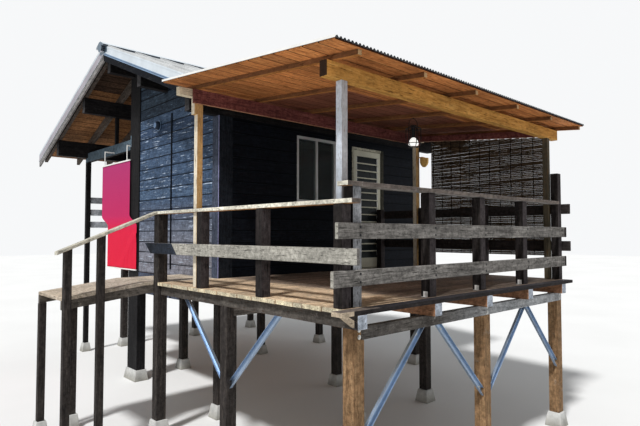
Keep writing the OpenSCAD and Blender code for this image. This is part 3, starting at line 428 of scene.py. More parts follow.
def ledger_areas(s):
    """The undersides of the ledger and the side beam, lightened as a painted highlight."""
    return [(s.facing("Z", -1), shades(0.44, 0.22, 0.13, 0.8))]


def rafter_areas(s):
    """The rafters' pale ends and shaded sides."""
    return [(s.facing("Y", -1), shades(0.50, 0.33, 0.17, 0.8)),
            (s.facing("X", -1), shades(0.17, 0.075, 0.032))]


def ceiling_areas(s):
    """The boards near the wall, away from the light."""
    return [(s.both(s.beyond("X", 0.9), s.beyond("Y", 1.0)), shades(0.25, 0.095, 0.058))]


def soffit_areas(s):
    """The rear end of the roof boards, past the purlin."""
    return [(s.beyond("Y", 7.05), shades(0.25, 0.118, 0.050, 0.3))]


def girder_areas(s):
    """The girders' paler right part."""
    along = s.past("X", DECK.x + 1.2, 1.3)
    return [(s.greys(along, (0.0, 0), (1.0, 1)), shades(0.34, 0.35, 0.36, 0.4))]


def trim_areas(s):
    """The trims on the gable, lighter than the painted shade of the rest, the dark conduit, and the pale
    edge of the corner board.
    """
    gable = s.facing("X", -1)
    conduit = s.both(s.beyond("Y", 4.51), s.beyond("Y", 4.56, -1))
    return [(gable, shades(0.060, 0.072, 0.105)), (conduit, shades(0.004, 0.005, 0.008)),
            (s.both(gable, s.beyond("Y", 3.1995, -1)), shades(0.22, 0.22, 0.38, 0.85))]


def frame_areas(s):
    """The outer face of the tie beam."""
    tie = s.both(s.beyond("Z", 2.105), s.beyond("Z", 2.303, -1), s.beyond("Y", 5.985))
    return [(s.both(s.facing("X", -1), tie), shades(0.085, 0.12, 0.15))]


def purlin_areas(s):
    """The purlins' left ends."""
    return [(s.facing("X", -1), shades(0.045, 0.043, 0.045))]


def barge_areas(s):
    """The barge boards of the front slope, darkened as painted shade."""
    return [(s.beyond("Y", RIDGE_Y, -1), shades(0.004, 0.005, 0.008))]


def casing_areas(s):
    """The door frame's dark hinge side."""
    return [(s.beyond("X", 4.1615), shades(0.045, 0.042, 0.030))]


M = {
    "concrete": concrete("concrete"),
    "red_wood": wood("red_wood", (0.10, 0.052, 0.026), (0.245, 0.140, 0.070), (0.40, 0.265, 0.145), "Z",
                     wear=(0.60, (0.27, 0.23, 0.19))),
    "joist_wood": wood("joist_wood", (0.10, 0.05, 0.03), (0.25, 0.125, 0.07), (0.42, 0.23, 0.13), "Y",
                       wear=(0.60, (0.20, 0.18, 0.17)), areas=joist_areas),
    "sill_wood": wood("sill_wood", (0.10, 0.035, 0.02), (0.22, 0.07, 0.04), (0.33, 0.13, 0.08), "X",
                      ("Y", "Y", DECK.y + 3.4)),
    "dark_post": wood("dark_post", (0.010, 0.009, 0.009), (0.028, 0.024, 0.023), (0.080, 0.068, 0.060), "Z",
                      wear=(0.68, (0.15, 0.12, 0.10))),
    "rail_post": wood("rail_post", (0.006, 0.005, 0.006), (0.017, 0.014, 0.014), (0.050, 0.043, 0.039), "Z",
                      wear=(0.70, (0.16, 0.14, 0.12)), areas=rail_post_areas),
    "frame_post": wood("frame_post", (0.004, 0.004, 0.005), (0.010, 0.010, 0.011), (0.028, 0.026, 0.026),
                       "Z", areas=frame_areas),
    "dark_beam": wood("dark_beam", (0.004, 0.004, 0.005), (0.012, 0.011, 0.012), (0.034, 0.031, 0.030), "X",
                      areas=purlin_areas),
    "house_rafter": wood("house_rafter", (0.030, 0.024, 0.020), (0.085, 0.068, 0.056), (0.17, 0.14, 0.12),
                         "Y"),
    "dark_board": wood("dark_board", (0.02, 0.018, 0.018), (0.055, 0.05, 0.048), (0.13, 0.115, 0.105), "X",
                       wear=(0.62, (0.24, 0.21, 0.19)), areas=front_board_areas),
    "bearer_board": wood("bearer_board", (0.03, 0.026, 0.023), (0.085, 0.075, 0.066), (0.19, 0.165, 0.14),
                         "X", wear=(0.62, (0.28, 0.25, 0.21))),
    "barge_board": wood("barge_board", (0.10, 0.093, 0.090), (0.215, 0.205, 0.200), (0.34, 0.325, 0.315),
                        "Y", areas=barge_areas),
    "grey_beam": wood("grey_beam", (0.028, 0.024, 0.021), (0.085, 0.076, 0.068), (0.21, 0.195, 0.18), "X",
                      wear=(0.62, (0.30, 0.29, 0.27)), areas=girder_areas),
    "grey_plank": wood("grey_plank", (0.030, 0.027, 0.025), (0.145, 0.135, 0.126), (0.36, 0.34, 0.315), "X",
                       ("Y", "X", None), wear=(0.66, (0.42, 0.40, 0.36)), areas=plank_areas),
    "grey_rail": wood("grey_rail", (0.10, 0.09, 0.085), (0.26, 0.24, 0.225), (0.46, 0.435, 0.405), "X",
                      ("Y", "X", None), wear=(0.64, (0.58, 0.53, 0.45)), areas=handrail_areas),
    "deck_wood": wood("deck_wood", (0.32, 0.215, 0.13), (0.60, 0.445, 0.295), (0.76, 0.62, 0.45), "X",
                      boards=("Y", DECK.y + 0.018, 3.178 / 26), wear=(0.64, (0.40, 0.34, 0.29)),
                      areas=deck_areas),
    "ramp_wood": wood("ramp_wood", (0.28, 0.22, 0.16), (0.50, 0.42, 0.33), (0.68, 0.60, 0.50), "Y",
                      boards=("X", DECK.x - 0.1, 0.12), wear=(0.62, (0.40, 0.35, 0.30))),
    "pale_wood": wood("pale_wood", (0.36, 0.18, 0.06), (0.56, 0.33, 0.125), (0.72, 0.48, 0.23), "Z",
                      areas=porch_post_areas, rugged=0.35),
    "porch_beam": wood("porch_beam", (0.17, 0.066, 0.011), (0.52, 0.250, 0.055), (0.72, 0.43, 0.135), "X",
                       wear=(0.66, (0.60, 0.45, 0.28)), areas=beam_areas, rugged=0.45),
    "ledger_wood": wood("ledger_wood", (0.05, 0.015, 0.015), (0.17, 0.050, 0.046), (0.30, 0.11, 0.09), "X",
                        areas=ledger_areas),
    "porch_rafter": wood("porch_rafter", (0.13, 0.042, 0.010), (0.40, 0.150, 0.038), (0.58, 0.27, 0.085),
                         "Y", areas=rafter_areas, rugged=0.5),
    "ceiling": wood("ceiling", (0.14, 0.040, 0.013), (0.56, 0.200, 0.062), (0.78, 0.37, 0.135), "X",
                    boards=("Y", DECK.y + PORCH_Y0, 0.183), seam=0.06, areas=ceiling_areas, rugged=0.5),
    "soffit": wood("soffit", (0.012, 0.007, 0.005), (0.044, 0.026, 0.018), (0.12, 0.070, 0.043), "X",
                   boards=("Y", DECK.y, 0.15), seam=0.08, areas=soffit_areas),
    "floor_wood": wood("floor_wood", (0.16, 0.08, 0.035), (0.32, 0.18, 0.085), (0.45, 0.28, 0.15), "X",
                       boards=("Y", DECK.y, 0.10), rough=0.5),
    # wall_core and wall_trim are darkened as painted shade, as on the front wall under the porch roof
    "wall_core": wood("wall_core", (0.006, 0.009, 0.014), (0.016, 0.022, 0.032), (0.040, 0.052, 0.070)),
    "wall_trim": wood("wall_trim", (0.005, 0.006, 0.009), (0.012, 0.015, 0.021), (0.030, 0.036, 0.046), "Z",
                      areas=trim_areas),
    "door_wood": wood("door_wood", (0.07, 0.035, 0.016), (0.16, 0.085, 0.042), (0.25, 0.15, 0.08), "Z"),
    "casing": wood("casing", (0.30, 0.285, 0.22), (0.47, 0.45, 0.36), (0.60, 0.58, 0.47), "Z",
                   areas=casing_areas, rough=0.55),
    "galvanised": metal("galvanised", (0.38, 0.48, 0.62), 0.46, 26.0),
    "roof_metal": metal("roof_metal", (0.58, 0.59, 0.59), 0.42, streak=(6.0, 0.5, 0.5), metallic=0.35),
    "cream_paint": paint("cream_paint", (0.66, 0.65, 0.53), 0.5, (0.36, 0.33, 0.27)),
    "window_alu": metal("window_alu", (0.74, 0.75, 0.74), 0.35, metallic=0.6),
    "glass": glass("glass", (0.30, 0.36, 0.37)),
    "louvre_glass": glass("louvre_glass", (0.012, 0.016, 0.018), 0.25, 0.0, 0.12),
    "black_iron": metal("black_iron", (0.016, 0.016, 0.018), 0.42, metallic=0.6),
    "white_bar": paint("white_bar", (0.84, 0.83, 0.80), 0.4),
    "hinge_steel": metal("hinge_steel", (0.52, 0.52, 0.50), 0.3),
}


def edge_metal(name, base, areas):
    """Roof metal with other colours on some faces or edges, given as areas(s)."""
    s = Shade(name, 0.42, 0.4, base)
    cloud = s.noise(s.where, 3.0, 5.0, 0.6)
    tone = s.ramp(cloud, [(0.3, dim(base, 0.82)), (0.7, base)])
    for factor, color in areas(s):
        tone = s.mix(factor, tone, s.ramp(cloud, [(0.3, dim(color, 0.7)), (0.7, color)]))
    s.color(tone)
    s.rough(s.math("ADD", s.math("MULTIPLY", cloud, 0.2), 0.34))
    s.bump(s.noise(s.where, 40.0, 3.0, 0.5), 0.08, 0.001)
    return s.mat


def porch_sheet_areas(s):
    """The sheet's underside and its cut front edge."""
    return [(s.facing("Z", -1), (0.30, 0.33, 0.36)), (s.beyond("Y", -0.192, -1), (0.035, 0.042, 0.052))]


def verge_areas(s):
    """The rear trim under its bead in painted shade, the foot of the front trim with a dark line, and
    the ridge cap with its front side in painted shade.
    """
    cap = s.both(s.beyond("Y", 5.775), s.beyond("Y", 6.085, -1), s.beyond("Z", 3.60))
    across = s.math("ABSOLUTE", s.math("SUBTRACT", s.axis("Y"), DECK.y + RIDGE_Y))
    slope = s.math("SUBTRACT", DECK.z + ROOF_TOP, s.math("MULTIPLY", across, ROOF_SLOPE))
    depth = s.math("SUBTRACT", slope, s.axis("Z"))
    outer = s.facing("X", -1)
    foot = s.both(s.math("GREATER_THAN", depth, 0.127), s.beyond("Y", RIDGE_Y, -1),
                  s.beyond("Z", 3.595, -1))
    line = s.both(foot, s.math("GREATER_THAN", depth, 0.139), s.math("LESS_THAN", depth, 0.150))
    rear = s.both(s.math("GREATER_THAN", depth, 0.032), s.beyond("Y", RIDGE_Y + 0.02), outer)
    return [(rear, (0.40, 0.37, 0.41)), (foot, (0.20, 0.32, 0.48)), (line, (0.05, 0.09, 0.16)),
            (s.both(cap, outer), (0.14, 0.20, 0.26)),
            (s.both(cap, s.facing("Y", -1)), (0.05, 0.065, 0.085))]


M["porch_sheet"] = edge_metal("porch_sheet", (0.78, 0.79, 0.78), porch_sheet_areas)
M["verge_metal"] = edge_metal("verge_metal", (0.70, 0.76, 0.81), verge_areas)

NODE_MATERIAL = {
    "pier_blocks": "concrete", "front_stilts": "red_wood", "rear_stilts": "dark_post",
    "steel_braces": "galvanised", "girders": "grey_beam", "deck_joists": "joist_wood",
    "deck_boards": "deck_wood", "front_deck_board": "dark_board", "rail_posts": "rail_post",
    "handrails": "grey_rail", "rail_planks": "grey_plank", "ramp_deck": "ramp_wood",
    "ramp_bearers": "bearer_board", "barge_boards": "barge_board", "porch_posts": "pale_wood",
    "porch_beams": "porch_beam",
    "porch_ledger": "ledger_wood", "porch_rafters": "porch_rafter", "porch_ceiling": "ceiling",
    "porch_roof_sheet": "porch_sheet", "sill_beams": "sill_wood", "house_floor": "floor_wood",
    "front_wall": "wall_core", "door_side_wall": "wall_core", "door_head_wall": "wall_core",
    "gable_wall": "wall_core", "far_gable_wall": "wall_core", "back_wall": "wall_core",
    "entry_walls": "wall_core", "entry_door": "door_wood", "wall_trims": "wall_trim",
    "entry_frame": "frame_post", "purlins": "dark_beam", "rafters": "house_rafter",
    "roof_boards": "soffit", "roof_sheets": "roof_metal", "roof_trims": "verge_metal",
    "door_frame": "casing", "door_hinges": "hinge_steel", "door_leaf": "cream_paint",
    "door_louvres": "louvre_glass", "door_handle": "hinge_steel", "window_frames": "window_alu",
    "window_glass": "glass", "shade_bars": "white_bar", "hanging_lantern": "black_iron",
}
SOFTENED = {
    "pier_blocks": 0.008, "front_stilts": 0.006, "rear_stilts": 0.006, "girders": 0.004,
    "deck_joists": 0.004, "deck_boards": 0.003, "front_deck_board": 0.005, "rail_posts": 0.007,
    "handrails": 0.006, "rail_planks": 0.005, "ramp_deck": 0.003, "ramp_bearers": 0.004,
    "porch_posts": 0.004, "porch_beams": 0.005, "porch_ledger": 0.004, "porch_rafters": 0.003,
    "sill_beams": 0.004, "wall_trims": 0.002, "entry_frame": 0.006, "purlins": 0.006,
    "rafters": 0.003, "barge_boards": 0.003, "roof_trims": 0.0015, "door_frame": 0.002, "door_leaf": 0.002,
    "window_frames": 0.002, "shade_bars": 0.002,
}


def soften(obj, width):
    """Rounds the edges of a solid without touching its mesh."""
    weld = obj.modifiers.new("weld", "WELD")
    weld.merge_threshold = 0.00005
    bevel = obj.modifiers.new("edge", "BEVEL")
    bevel.width = width
    bevel.segments = 2
    bevel.limit_method = "ANGLE"
    bevel.angle_limit = math.radians(35)
    bevel.use_clamp_overlap = True


def dress(name, material):
    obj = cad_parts[name]
    obj.data.materials.clear()
    obj.data.materials.append(material)


for node_name, key in NODE_MATERIAL.items():
    dress(node_name, M[key])
for node_name, width in SOFTENED.items():
    soften(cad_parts[node_name], width)


# ---------------------------------------------------------------- mesh helpers

class Build:
    """Collects prisms and boxes and makes one object of them."""

    def __init__(self):
        self.points = []
        self.faces = []

    def prism(self, low, high):
        """Joins two like loops of points, low and high, into a closed prism."""
        n = len(low)
        base = len(self.points)
        self.points += [tuple(p) for p in low] + [tuple(p) for p in high]
        self.faces.append(tuple(base + i for i in reversed(range(n))))
        self.faces.append(tuple(base + n + i for i in range(n)))
        for i in range(n):
            j = (i + 1) % n
            self.faces.append((base + i, base + j, base + n + j, base + n + i))

    def box(self, a, b):
        (x0, y0, z0), (x1, y1, z1) = a, b
        low = [(x0, y0, z0), (x1, y0, z0), (x1, y1, z0), (x0, y1, z0)]
        self.prism(low, [(x, y, z1) for x, y, _ in low])

    def rod(self, a, b, radius, sides):
        a, b = Vector(a), Vector(b)
        along = (b - a).normalized()
        side = along.orthogonal().normalized()
        up = along.cross(side)
        turn = [2 * math.pi * i / sides for i in range(sides)]
        ring = [side * math.cos(t) * radius + up * math.sin(t) * radius for t in turn]
        self.prism([a + r for r in ring], [b + r for r in ring])

    def finish(self, name, material, body="house", slot="", edge=0.0, smooth=False):
        mesh = bpy.data.meshes.new(name)
        mesh.from_pydata([tuple(Vector(p) + DECK) for p in self.points], [], self.faces)
        tidy = bmesh.new()
        tidy.from_mesh(mesh)
        bmesh.ops.recalc_face_normals(tidy, faces=tidy.faces)
        tidy.to_mesh(mesh)
        tidy.free()
        obj = bpy.data.objects.new(name, mesh)
        bpy.context.scene.collection.objects.link(obj)
        mesh.materials.append(material)
        for face in mesh.polygons:
            face.use_smooth = smooth
        if edge:
            bevel = obj.modifiers.new("edge", "BEVEL")
            bevel.width = edge
            bevel.segments = 1
            bevel.limit_method = "ANGLE"
        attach(obj, body)
        return obj


def clip(loop, a, b, c):
    """Keeps the part of a flat loop where a * u + b * v <= c."""
    kept = []
    for i, p in enumerate(loop):
        q = loop[(i + 1) % len(loop)]
        dp = a * p[0] + b * p[1] - c
        dq = a * q[0] + b * q[1] - c
        if dp <= 0:
            kept.append(p)
        if dp * dq < 0:
            t = dp / (dp - dq)
            kept.append((p[0] + (q[0] - p[0]) * t, p[1] + (q[1] - p[1]) * t))
    return kept


def under_roof(loop, depth):
    """Cuts a loop of (y, z) to below the two roof slopes."""
    top = ROOF_TOP - depth
    loop = clip(loop, -ROOF_SLOPE, 1, top - ROOF_SLOPE * RIDGE_Y)
    return clip(loop, ROOF_SLOPE, 1, top + ROOF_SLOPE * RIDGE_Y) if loop else loop


def courses(z0, z1):
    """Heights of the horizontal boards between two levels, with their joints."""
    k = math.floor((z0 - BOARD_FIRST) / BOARD_PITCH)
    spans = []
    while BOARD_FIRST + k * BOARD_PITCH < z1:
        low = max(z0, BOARD_FIRST + k * BOARD_PITCH + 0.006)
        high = min(z1, BOARD_FIRST + (k + 1) * BOARD_PITCH)
        if high - low > 0.01:
            spans.append((low, high))
        k += 1
    return spans


def pieces_between(u0, u1, holes, low, high):
    """Runs of a course left over beside holes given as (u0, u1, z0, z1)."""
    cuts = sorted((a, b) for a, b, z0, z1 in holes if z0 < high and z1 > low)
    runs, at = [], u0
    for a, b in cuts:
        if a > at:
            runs.append((at, a))
        at = max(at, b)
    if at < u1:
        runs.append((at, u1))
    return runs


def split_at_holes(low, high, holes):
    """A course is split where a hole starts or ends inside its height."""
    levels = {low, high}
    for _, _, z0, z1 in holes:
        levels |= {z for z in (z0, z1) if low < z < high}
    levels = sorted(levels)
    return list(zip(levels, levels[1:]))


def siding_x(build, y_face, out, x0, x1, z0, z1, holes=()):
    """Boards on a wall that runs along X, laid on its face at y_face."""
    y1 = y_face + out * BOARD_T
    for low, high in courses(z0, z1):
        for a, b in split_at_holes(low, high, holes):
            for u0, u1 in pieces_between(x0, x1, holes, a, b):
                build.box((u0, min(y_face, y1), a), (u1, max(y_face, y1), b))


def siding_y(build, x_face, out, y0, y1, z0, z1, holes=(), depth=None):
    """Boards on a gable that runs along Y, cut to the roof where depth is given."""
    x1 = x_face + out * BOARD_T
    for low, high in courses(z0, z1):
        for a, b in split_at_holes(low, high, holes):
            for u0, u1 in pieces_between(y0, y1, holes, a, b):
                loop = [(u0, a), (u1, a), (u1, b), (u0, b)]
                if depth is not None:
                    loop = under_roof(loop, depth)
                if len(loop) > 2:
                    build.prism([(x_face, u, v) for u, v in loop], [(x1, u, v) for u, v in loop])


def roof_z(y, depth):
    return ROOF_TOP - ROOF_SLOPE * abs(y - RIDGE_Y) - depth


def purlin_hole(y, height=PURLIN_H):
    half, room = 0.061, 0.03
    top = max(roof_z(y - half, RAFTER_UNDER), roof_z(y + half, RAFTER_UNDER))
    return (y - half, y + half, roof_z(y, RAFTER_UNDER) - height - room, top + room)


# ---------------------------------------------------------------- wall boards

WINDOW_W, WINDOW_Z, WINDOW_H = 0.840, 1.080, 1.020
SIDE_WINDOW_Y = RIDGE_Y - 1.5
BACK_WINDOW_X = HOUSE_X1 - 1.2
FRONT_WINDOW_X = 2.221
CASING_X0, CASING_X1, CASING_TOP = 3.430, 4.234, 2.063
GABLE_DARK_Z = BOARD_FIRST + 14 * BOARD_PITCH
SIDING_Z0, ABOVE_RIDGE, GABLE_END_Y = -0.036, 3.8, 5.66
CORNER_TRIM, LEFT_TRIM = 0.15, 0.2


def window_hole(u):
    return (u, u + WINDOW_W, WINDOW_Z, WINDOW_Z + WINDOW_H)


def board_material(name, dark, mid, light, axis, scratch=None, foot=None):
    """Stained boards with knots.

    scratch is the colour of pale runs on a gable, foot the bleached tone low down.
    """
    s = Shade(name, 0.62)
    long = s.scaled(GRAIN[axis])
    figure = s.noise(long, 2.6, 6.0, 0.62, 1.1)
    fibre = s.noise(long, 14.0, 5.0, 0.7)
    count = s.past("Z", DECK.z + BOARD_FIRST, BOARD_PITCH)
    tone = s.grained(figure, fibre, dark, mid, light)
    tone = s.times(tone, s.per_board(count, (0.62, 0.64, 0.70), (1.26, 1.24, 1.18)))
    if foot:
        height = s.math("ADD", s.past("Z", DECK.z, 2.6), s.math("MULTIPLY", figure, 0.15))
        bleached = s.ramp(figure, [(0.3, dim(foot, 0.55)), (0.7, foot)])
        tone = s.mix(s.greys(height, (0.16, 0.85), (0.52, 0)), tone, bleached)
    if scratch:
        runs = s.noise(s.scaled((9.0, 3.4, 46.0)), 1.0, 4.0, 0.65)
        tone = s.mix(s.greys(runs, (0.60, 0), (0.66, 0.85)), tone, scratch)
    knots = s.cells(s.scaled((4.0, 4.0, 11.0)), 1.0)
    tone = s.mix(s.greys(knots["Distance"], (0.05, 0.85), (0.12, 0)), tone, dark)
    # Painted shade along the foot of each board, under the lap of the board above
    lap_shade = s.greys(s.math("FRACT", count), (0.05, 0.92), (0.15, 0))
    tone = s.mix(lap_shade, tone, dim(dark, 0.3))
    mottle = s.noise(s.where, 18.0, 6.0, 0.8)
    s.color(s.times(tone, s.greys(mottle, (0.36, 0.5), (0.64, 1.45))))
    s.rough(s.math("ADD", s.math("MULTIPLY", fibre, 0.25), 0.5))
    s.bump(fibre, 0.5, 0.0012, s.bump(figure, 0.35, 0.003))
    return s.mat


def make_siding():
    gable_mat = board_material(
        "gable_boards", (0.005, 0.011, 0.022), (0.036, 0.064, 0.120), (0.112, 0.168, 0.265), "Y",
        (0.46, 0.54, 0.66), (0.27, 0.265, 0.30))
    upper_mat = board_material(
        "upper_boards", (0.003, 0.005, 0.010), (0.014, 0.024, 0.040), (0.055, 0.082, 0.118), "Y",
        (0.10, 0.15, 0.21))
    # The front, back and bay boards are the gable's boards darkened as painted shade
    boards_in_painted_shade = board_material(
        "boards_painted_shade", (0.0015, 0.002, 0.0035), (0.0042, 0.0055, 0.009), (0.011, 0.014, 0.021), "X")
    mid_purlins = [purlin_hole(RIDGE_Y - PURLIN_OFF), purlin_hole(RIDGE_Y + PURLIN_OFF)]

    front = Build()
    holes = [window_hole(FRONT_WINDOW_X), (CASING_X0, CASING_X1, -0.04, CASING_TOP)]
    siding_x(front, WALL_Y0, -1, HOUSE_X0 + LEFT_TRIM, HOUSE_X1 - CORNER_TRIM, 0.004, PLATE_Z, holes)
    front.finish("front_siding", boards_in_painted_shade, slot="wall_boards", edge=0.002)

    gable = Build()
    siding_y(gable, HOUSE_X0, -1, WALL_Y0 + CORNER_TRIM, GABLE_END_Y, SIDING_Z0, GABLE_DARK_Z)
    gable.finish("gable_siding", gable_mat, slot="wall_boards", edge=0.002)

    upper = Build()
    siding_y(upper, HOUSE_X0, -1, WALL_Y0 + 0.125, GABLE_END_Y, GABLE_DARK_Z + 0.004, ABOVE_RIDGE,
             mid_purlins[:1], BOARD_UNDER)
    upper.finish("upper_gable_siding", upper_mat, slot="wall_boards", edge=0.002)

    side = Build()
    holes = [window_hole(SIDE_WINDOW_Y), *mid_purlins, purlin_hole(RIDGE_Y),
             purlin_hole(WALL_Y1 - 0.06, PLATE_H)]
    siding_y(side, HOUSE_X1, 1, WALL_Y0 + CORNER_TRIM, WALL_Y1, SIDING_Z0, ABOVE_RIDGE, holes,
             BOARD_UNDER)
    side.finish("far_gable_siding", gable_mat, slot="wall_boards", edge=0.002)

    back = Build()
    holes = [window_hole(BACK_WINDOW_X - WINDOW_W)]
    siding_x(back, WALL_Y1, 1, BACK_ROOM_X0, HOUSE_X1, SIDING_Z0, PLATE_Z, holes)
    back.finish("back_siding", boards_in_painted_shade, slot="wall_boards", edge=0.002)

    bay = Build()
    siding_x(bay, RIDGE_Y + 0.06, 1, HOUSE_X0 + WALL_T, BACK_ROOM_X0 - BOARD_T, SIDING_Z0, 2.09)
    door = (RIDGE_Y + 0.9, RIDGE_Y + 1.72, -0.04, 2.04)
    siding_y(bay, BACK_ROOM_X0, -1, RIDGE_Y + 0.073, WALL_Y1 - WALL_T, SIDING_Z0, 2.6,
             [door, mid_purlins[1]], RAFTER_UNDER)
    bay.finish("entry_siding", boards_in_painted_shade, slot="wall_boards", edge=0.002)


make_siding()


# ---------------------------------------------------------------- reed screen

def porch_z(y, depth):
    """Height of the porch roof's plane at a depth square to it."""
    return PORCH_Z0 + PORCH_SLOPE * (y - PORCH_Y0) - depth / PORCH_COS


def reed_top(y):
    """Height of the underside of the side beam, which is 90 mm deep and lies under the rafters."""
    return porch_z(y, 0.077) - 0.09


def make_reeds():
    reed_mat = wood("reed", (0.018, 0.011, 0.006), (0.060, 0.038, 0.022), (0.150, 0.103, 0.062), "Y",
                    boards=("Z", 0.0, REED_PITCH), rough=0.75, wear=(0.67, (0.24, 0.20, 0.15)))
    string_mat = paint("reed_string", (0.012, 0.011, 0.010), 0.8)
    x, y0, y1, z0 = 4.187, 0.225, 2.125, 0.300
    half, radius_mean, waver, lap_shade = 0.005, 0.0053, 0.0009, 0.03
    reeds, strings = Build(), Build()
    for i in range(int((reed_top(y1) - z0) / REED_PITCH)):
        z = z0 + half + i * REED_PITCH
        start = y0 if z < reed_top(y0) - half else y0 + (z + half - reed_top(y0)) / PORCH_SLOPE
        if y1 - start < 0.1:
            continue
        joint = start + (y1 - start) * (0.3 + 0.4 * abs(math.sin(i * 1.9)))
        for k, (a, b) in enumerate(((start, joint + lap_shade), (joint, y1))):
            radius = radius_mean + 0.0003 * math.sin(i * 5.1 + k * 2.3)
            drop = waver * math.sin(i * 2.7 + k)
            sag = waver * math.sin(i * 3.9 + k * 1.3)
            low, high = max(z0 + radius, z + drop), max(z0 + radius, z + sag)
            reeds.rod((x + 0.0004 * k, a, low), (x - 0.0004 * k, b, high), radius, 6)
    for i in range(12):
        y = y0 + 0.04 + i * (y1 - y0 - 0.08) / 11
        strings.box((x - 0.0058, y - 0.0036, z0), (x + 0.0040, y + 0.0036, reed_top(y) - 0.002))
    screen = reeds.finish("reeds", reed_mat, slot="reed", smooth=True)
    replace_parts(screen, "reed_screen")
    strings.finish("reed_strings", string_mat, slot="reed")


make_reeds()


# ---------------------------------------------------------------- porch roof sheet

def make_porch_sheet():
    """The sheet with waves of 41 mm, as in the photo, and the pale flashing along its left edge."""
    x0, x1, y1 = -0.300, 4.330, 2.540
    waves, steps, tall, thick = 112, 8, 0.0190, 0.0012

    def foot(y):
        return porch_z(y, 0.020)

    sheet = Build()
    under, over = [], []
    for i in range(waves * steps + 1):
        x = x0 + (x1 - x0) * i / (waves * steps)
        z = 0.0004 + (tall - thick) * (1 - math.cos(i * 2 * math.pi / steps)) / 2
        under.append((x, z))
        over.append((x, z + thick))
    loop = under + over[::-1]
    count, turn = len(under), len(loop)
    sheet.points = [(x, y, foot(y) + z) for y in (PORCH_Y0, y1) for x, z in loop]
    for i in range(turn):
        k = (i + 1) % turn
        sheet.faces.append((i, k, turn + k, turn + i))
    for i in range(count - 1):
        a, b, c, d = i, i + 1, turn - 2 - i, turn - 1 - i
        sheet.faces.append((d, c, b, a))
        sheet.faces.append((turn + a, turn + b, turn + c, turn + d))
    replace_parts(sheet.finish("porch_sheet", M["porch_sheet"], slot="roof_metal"), "porch_roof_sheet")
    edge = Build()
    out, near, below = x0 - 0.0024, x0 - 0.0003, -0.002
    ring = ((out, below), (near, below), (near, tall), (out, tall))
    edge.prism(*([(x, y, foot(y) + z) for x, z in ring] for y in (PORCH_Y0, y1)))
    edge.finish("verge_flashing", M["white_bar"], slot="roof_metal")


make_porch_sheet()


# ---------------------------------------------------------------- red shade

SHADE_X, SHADE_Y, SHADE_W, SHADE_H = 0.806, 5.975, 1.250, 1.860
SHADE_PULL, PULL_TOP, PULL_H, CREASE_Z, RIB = 0.300, 0.93, 0.20, 0.62, 0.052


def shade_shift(z):
    """How far the lower part of the cloth is pushed aside at a height."""
    share = min(1.0, max(0.0, (PULL_TOP - z) / PULL_H))
    return -SHADE_PULL * (1 - math.cos(share * math.pi)) / 2


def cloth_material():
    s = Shade("red_cloth", 0.8)
    s.bsdf.inputs["Specular IOR Level"].default_value = 0.15
    # Red cloth with a painted sheen of sunlight: paler and more violet towards the top
    tone = s.ramp(s.past("Z", DECK.z, 1.9), [
        (0.0, (0.78, 0.008, 0.024)), (0.34, (0.74, 0.010, 0.036)), (0.48, (0.50, 0.022, 0.115)),
        (1.0, (0.36, 0.040, 0.17)),
    ])
    ribs = s.math("SINE", s.math("MULTIPLY", s.axis("Y"), 4 * math.pi / RIB))
    weave = s.noise(s.scaled((1, 60, 9)), 6.0, 3.0, 0.6)
    tone = s.mix(0.25, tone, s.ramp(weave, [(0.3, (0.26, 0.006, 0.03)), (0.7, (0.74, 0.05, 0.16))]))
    s.color(s.mix(s.greys(ribs, (0.45, 0), (0.95, 0.42)), tone, (0.26, 0.004, 0.06)))
    s.bump(weave, 0.25, 0.001, s.bump(ribs, 0.5, 0.0012))
    return s.mat


def make_shade():
    cols, rows = 120, 72
    cloth = bmesh.new()
    grid = []
    for j in range(rows + 1):
        z = SHADE_H * j / rows
        row = []
        for i in range(cols + 1):
            u = i / cols
            rib = 0.0022 * math.sin(u * SHADE_W / RIB * 2 * math.pi)
            belly = 0.004 * math.sin(math.pi * u) * math.sin(math.pi * j / rows)
            if z < CREASE_Z:
                off_crease = abs(u - 0.52 * (CREASE_Z - z) / CREASE_Z)
                belly += 0.011 * max(0.0, 1 - off_crease / 0.16)
            y = SHADE_Y + SHADE_W * u + shade_shift(z)
            row.append(cloth.verts.new(deck(SHADE_X + rib - belly, y, z)))
        grid.append(row)
    for j in range(rows):
        for i in range(cols):
            cloth.faces.new((grid[j][i], grid[j][i + 1], grid[j + 1][i + 1], grid[j + 1][i]))
    mesh = bpy.data.meshes.new("shade_cloth")
    cloth.to_mesh(mesh)
    cloth.free()
    for face in mesh.polygons:
        face.use_smooth = True
    obj = bpy.data.objects.new("shade_cloth", mesh)
    bpy.context.scene.collection.objects.link(obj)
    mesh.materials.append(cloth_material())
    thick = obj.modifiers.new("thick", "SOLIDIFY")
    thick.thickness = 0.0012
    thick.offset = 0.0
    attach(obj, "house")
    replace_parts(obj, "entry_shade")


make_shade()


# ---------------------------------------------------------------- small metalwork

def hex_bolt(build, at, direction, radius=0.011, height=0.009):
    at, direction = Vector(at), Vector(direction).normalized()
    build.rod(at, at + direction * 0.003, radius * 1.7, 16)
    build.rod(at + direction * 0.003, at + direction * height, radius, 6)


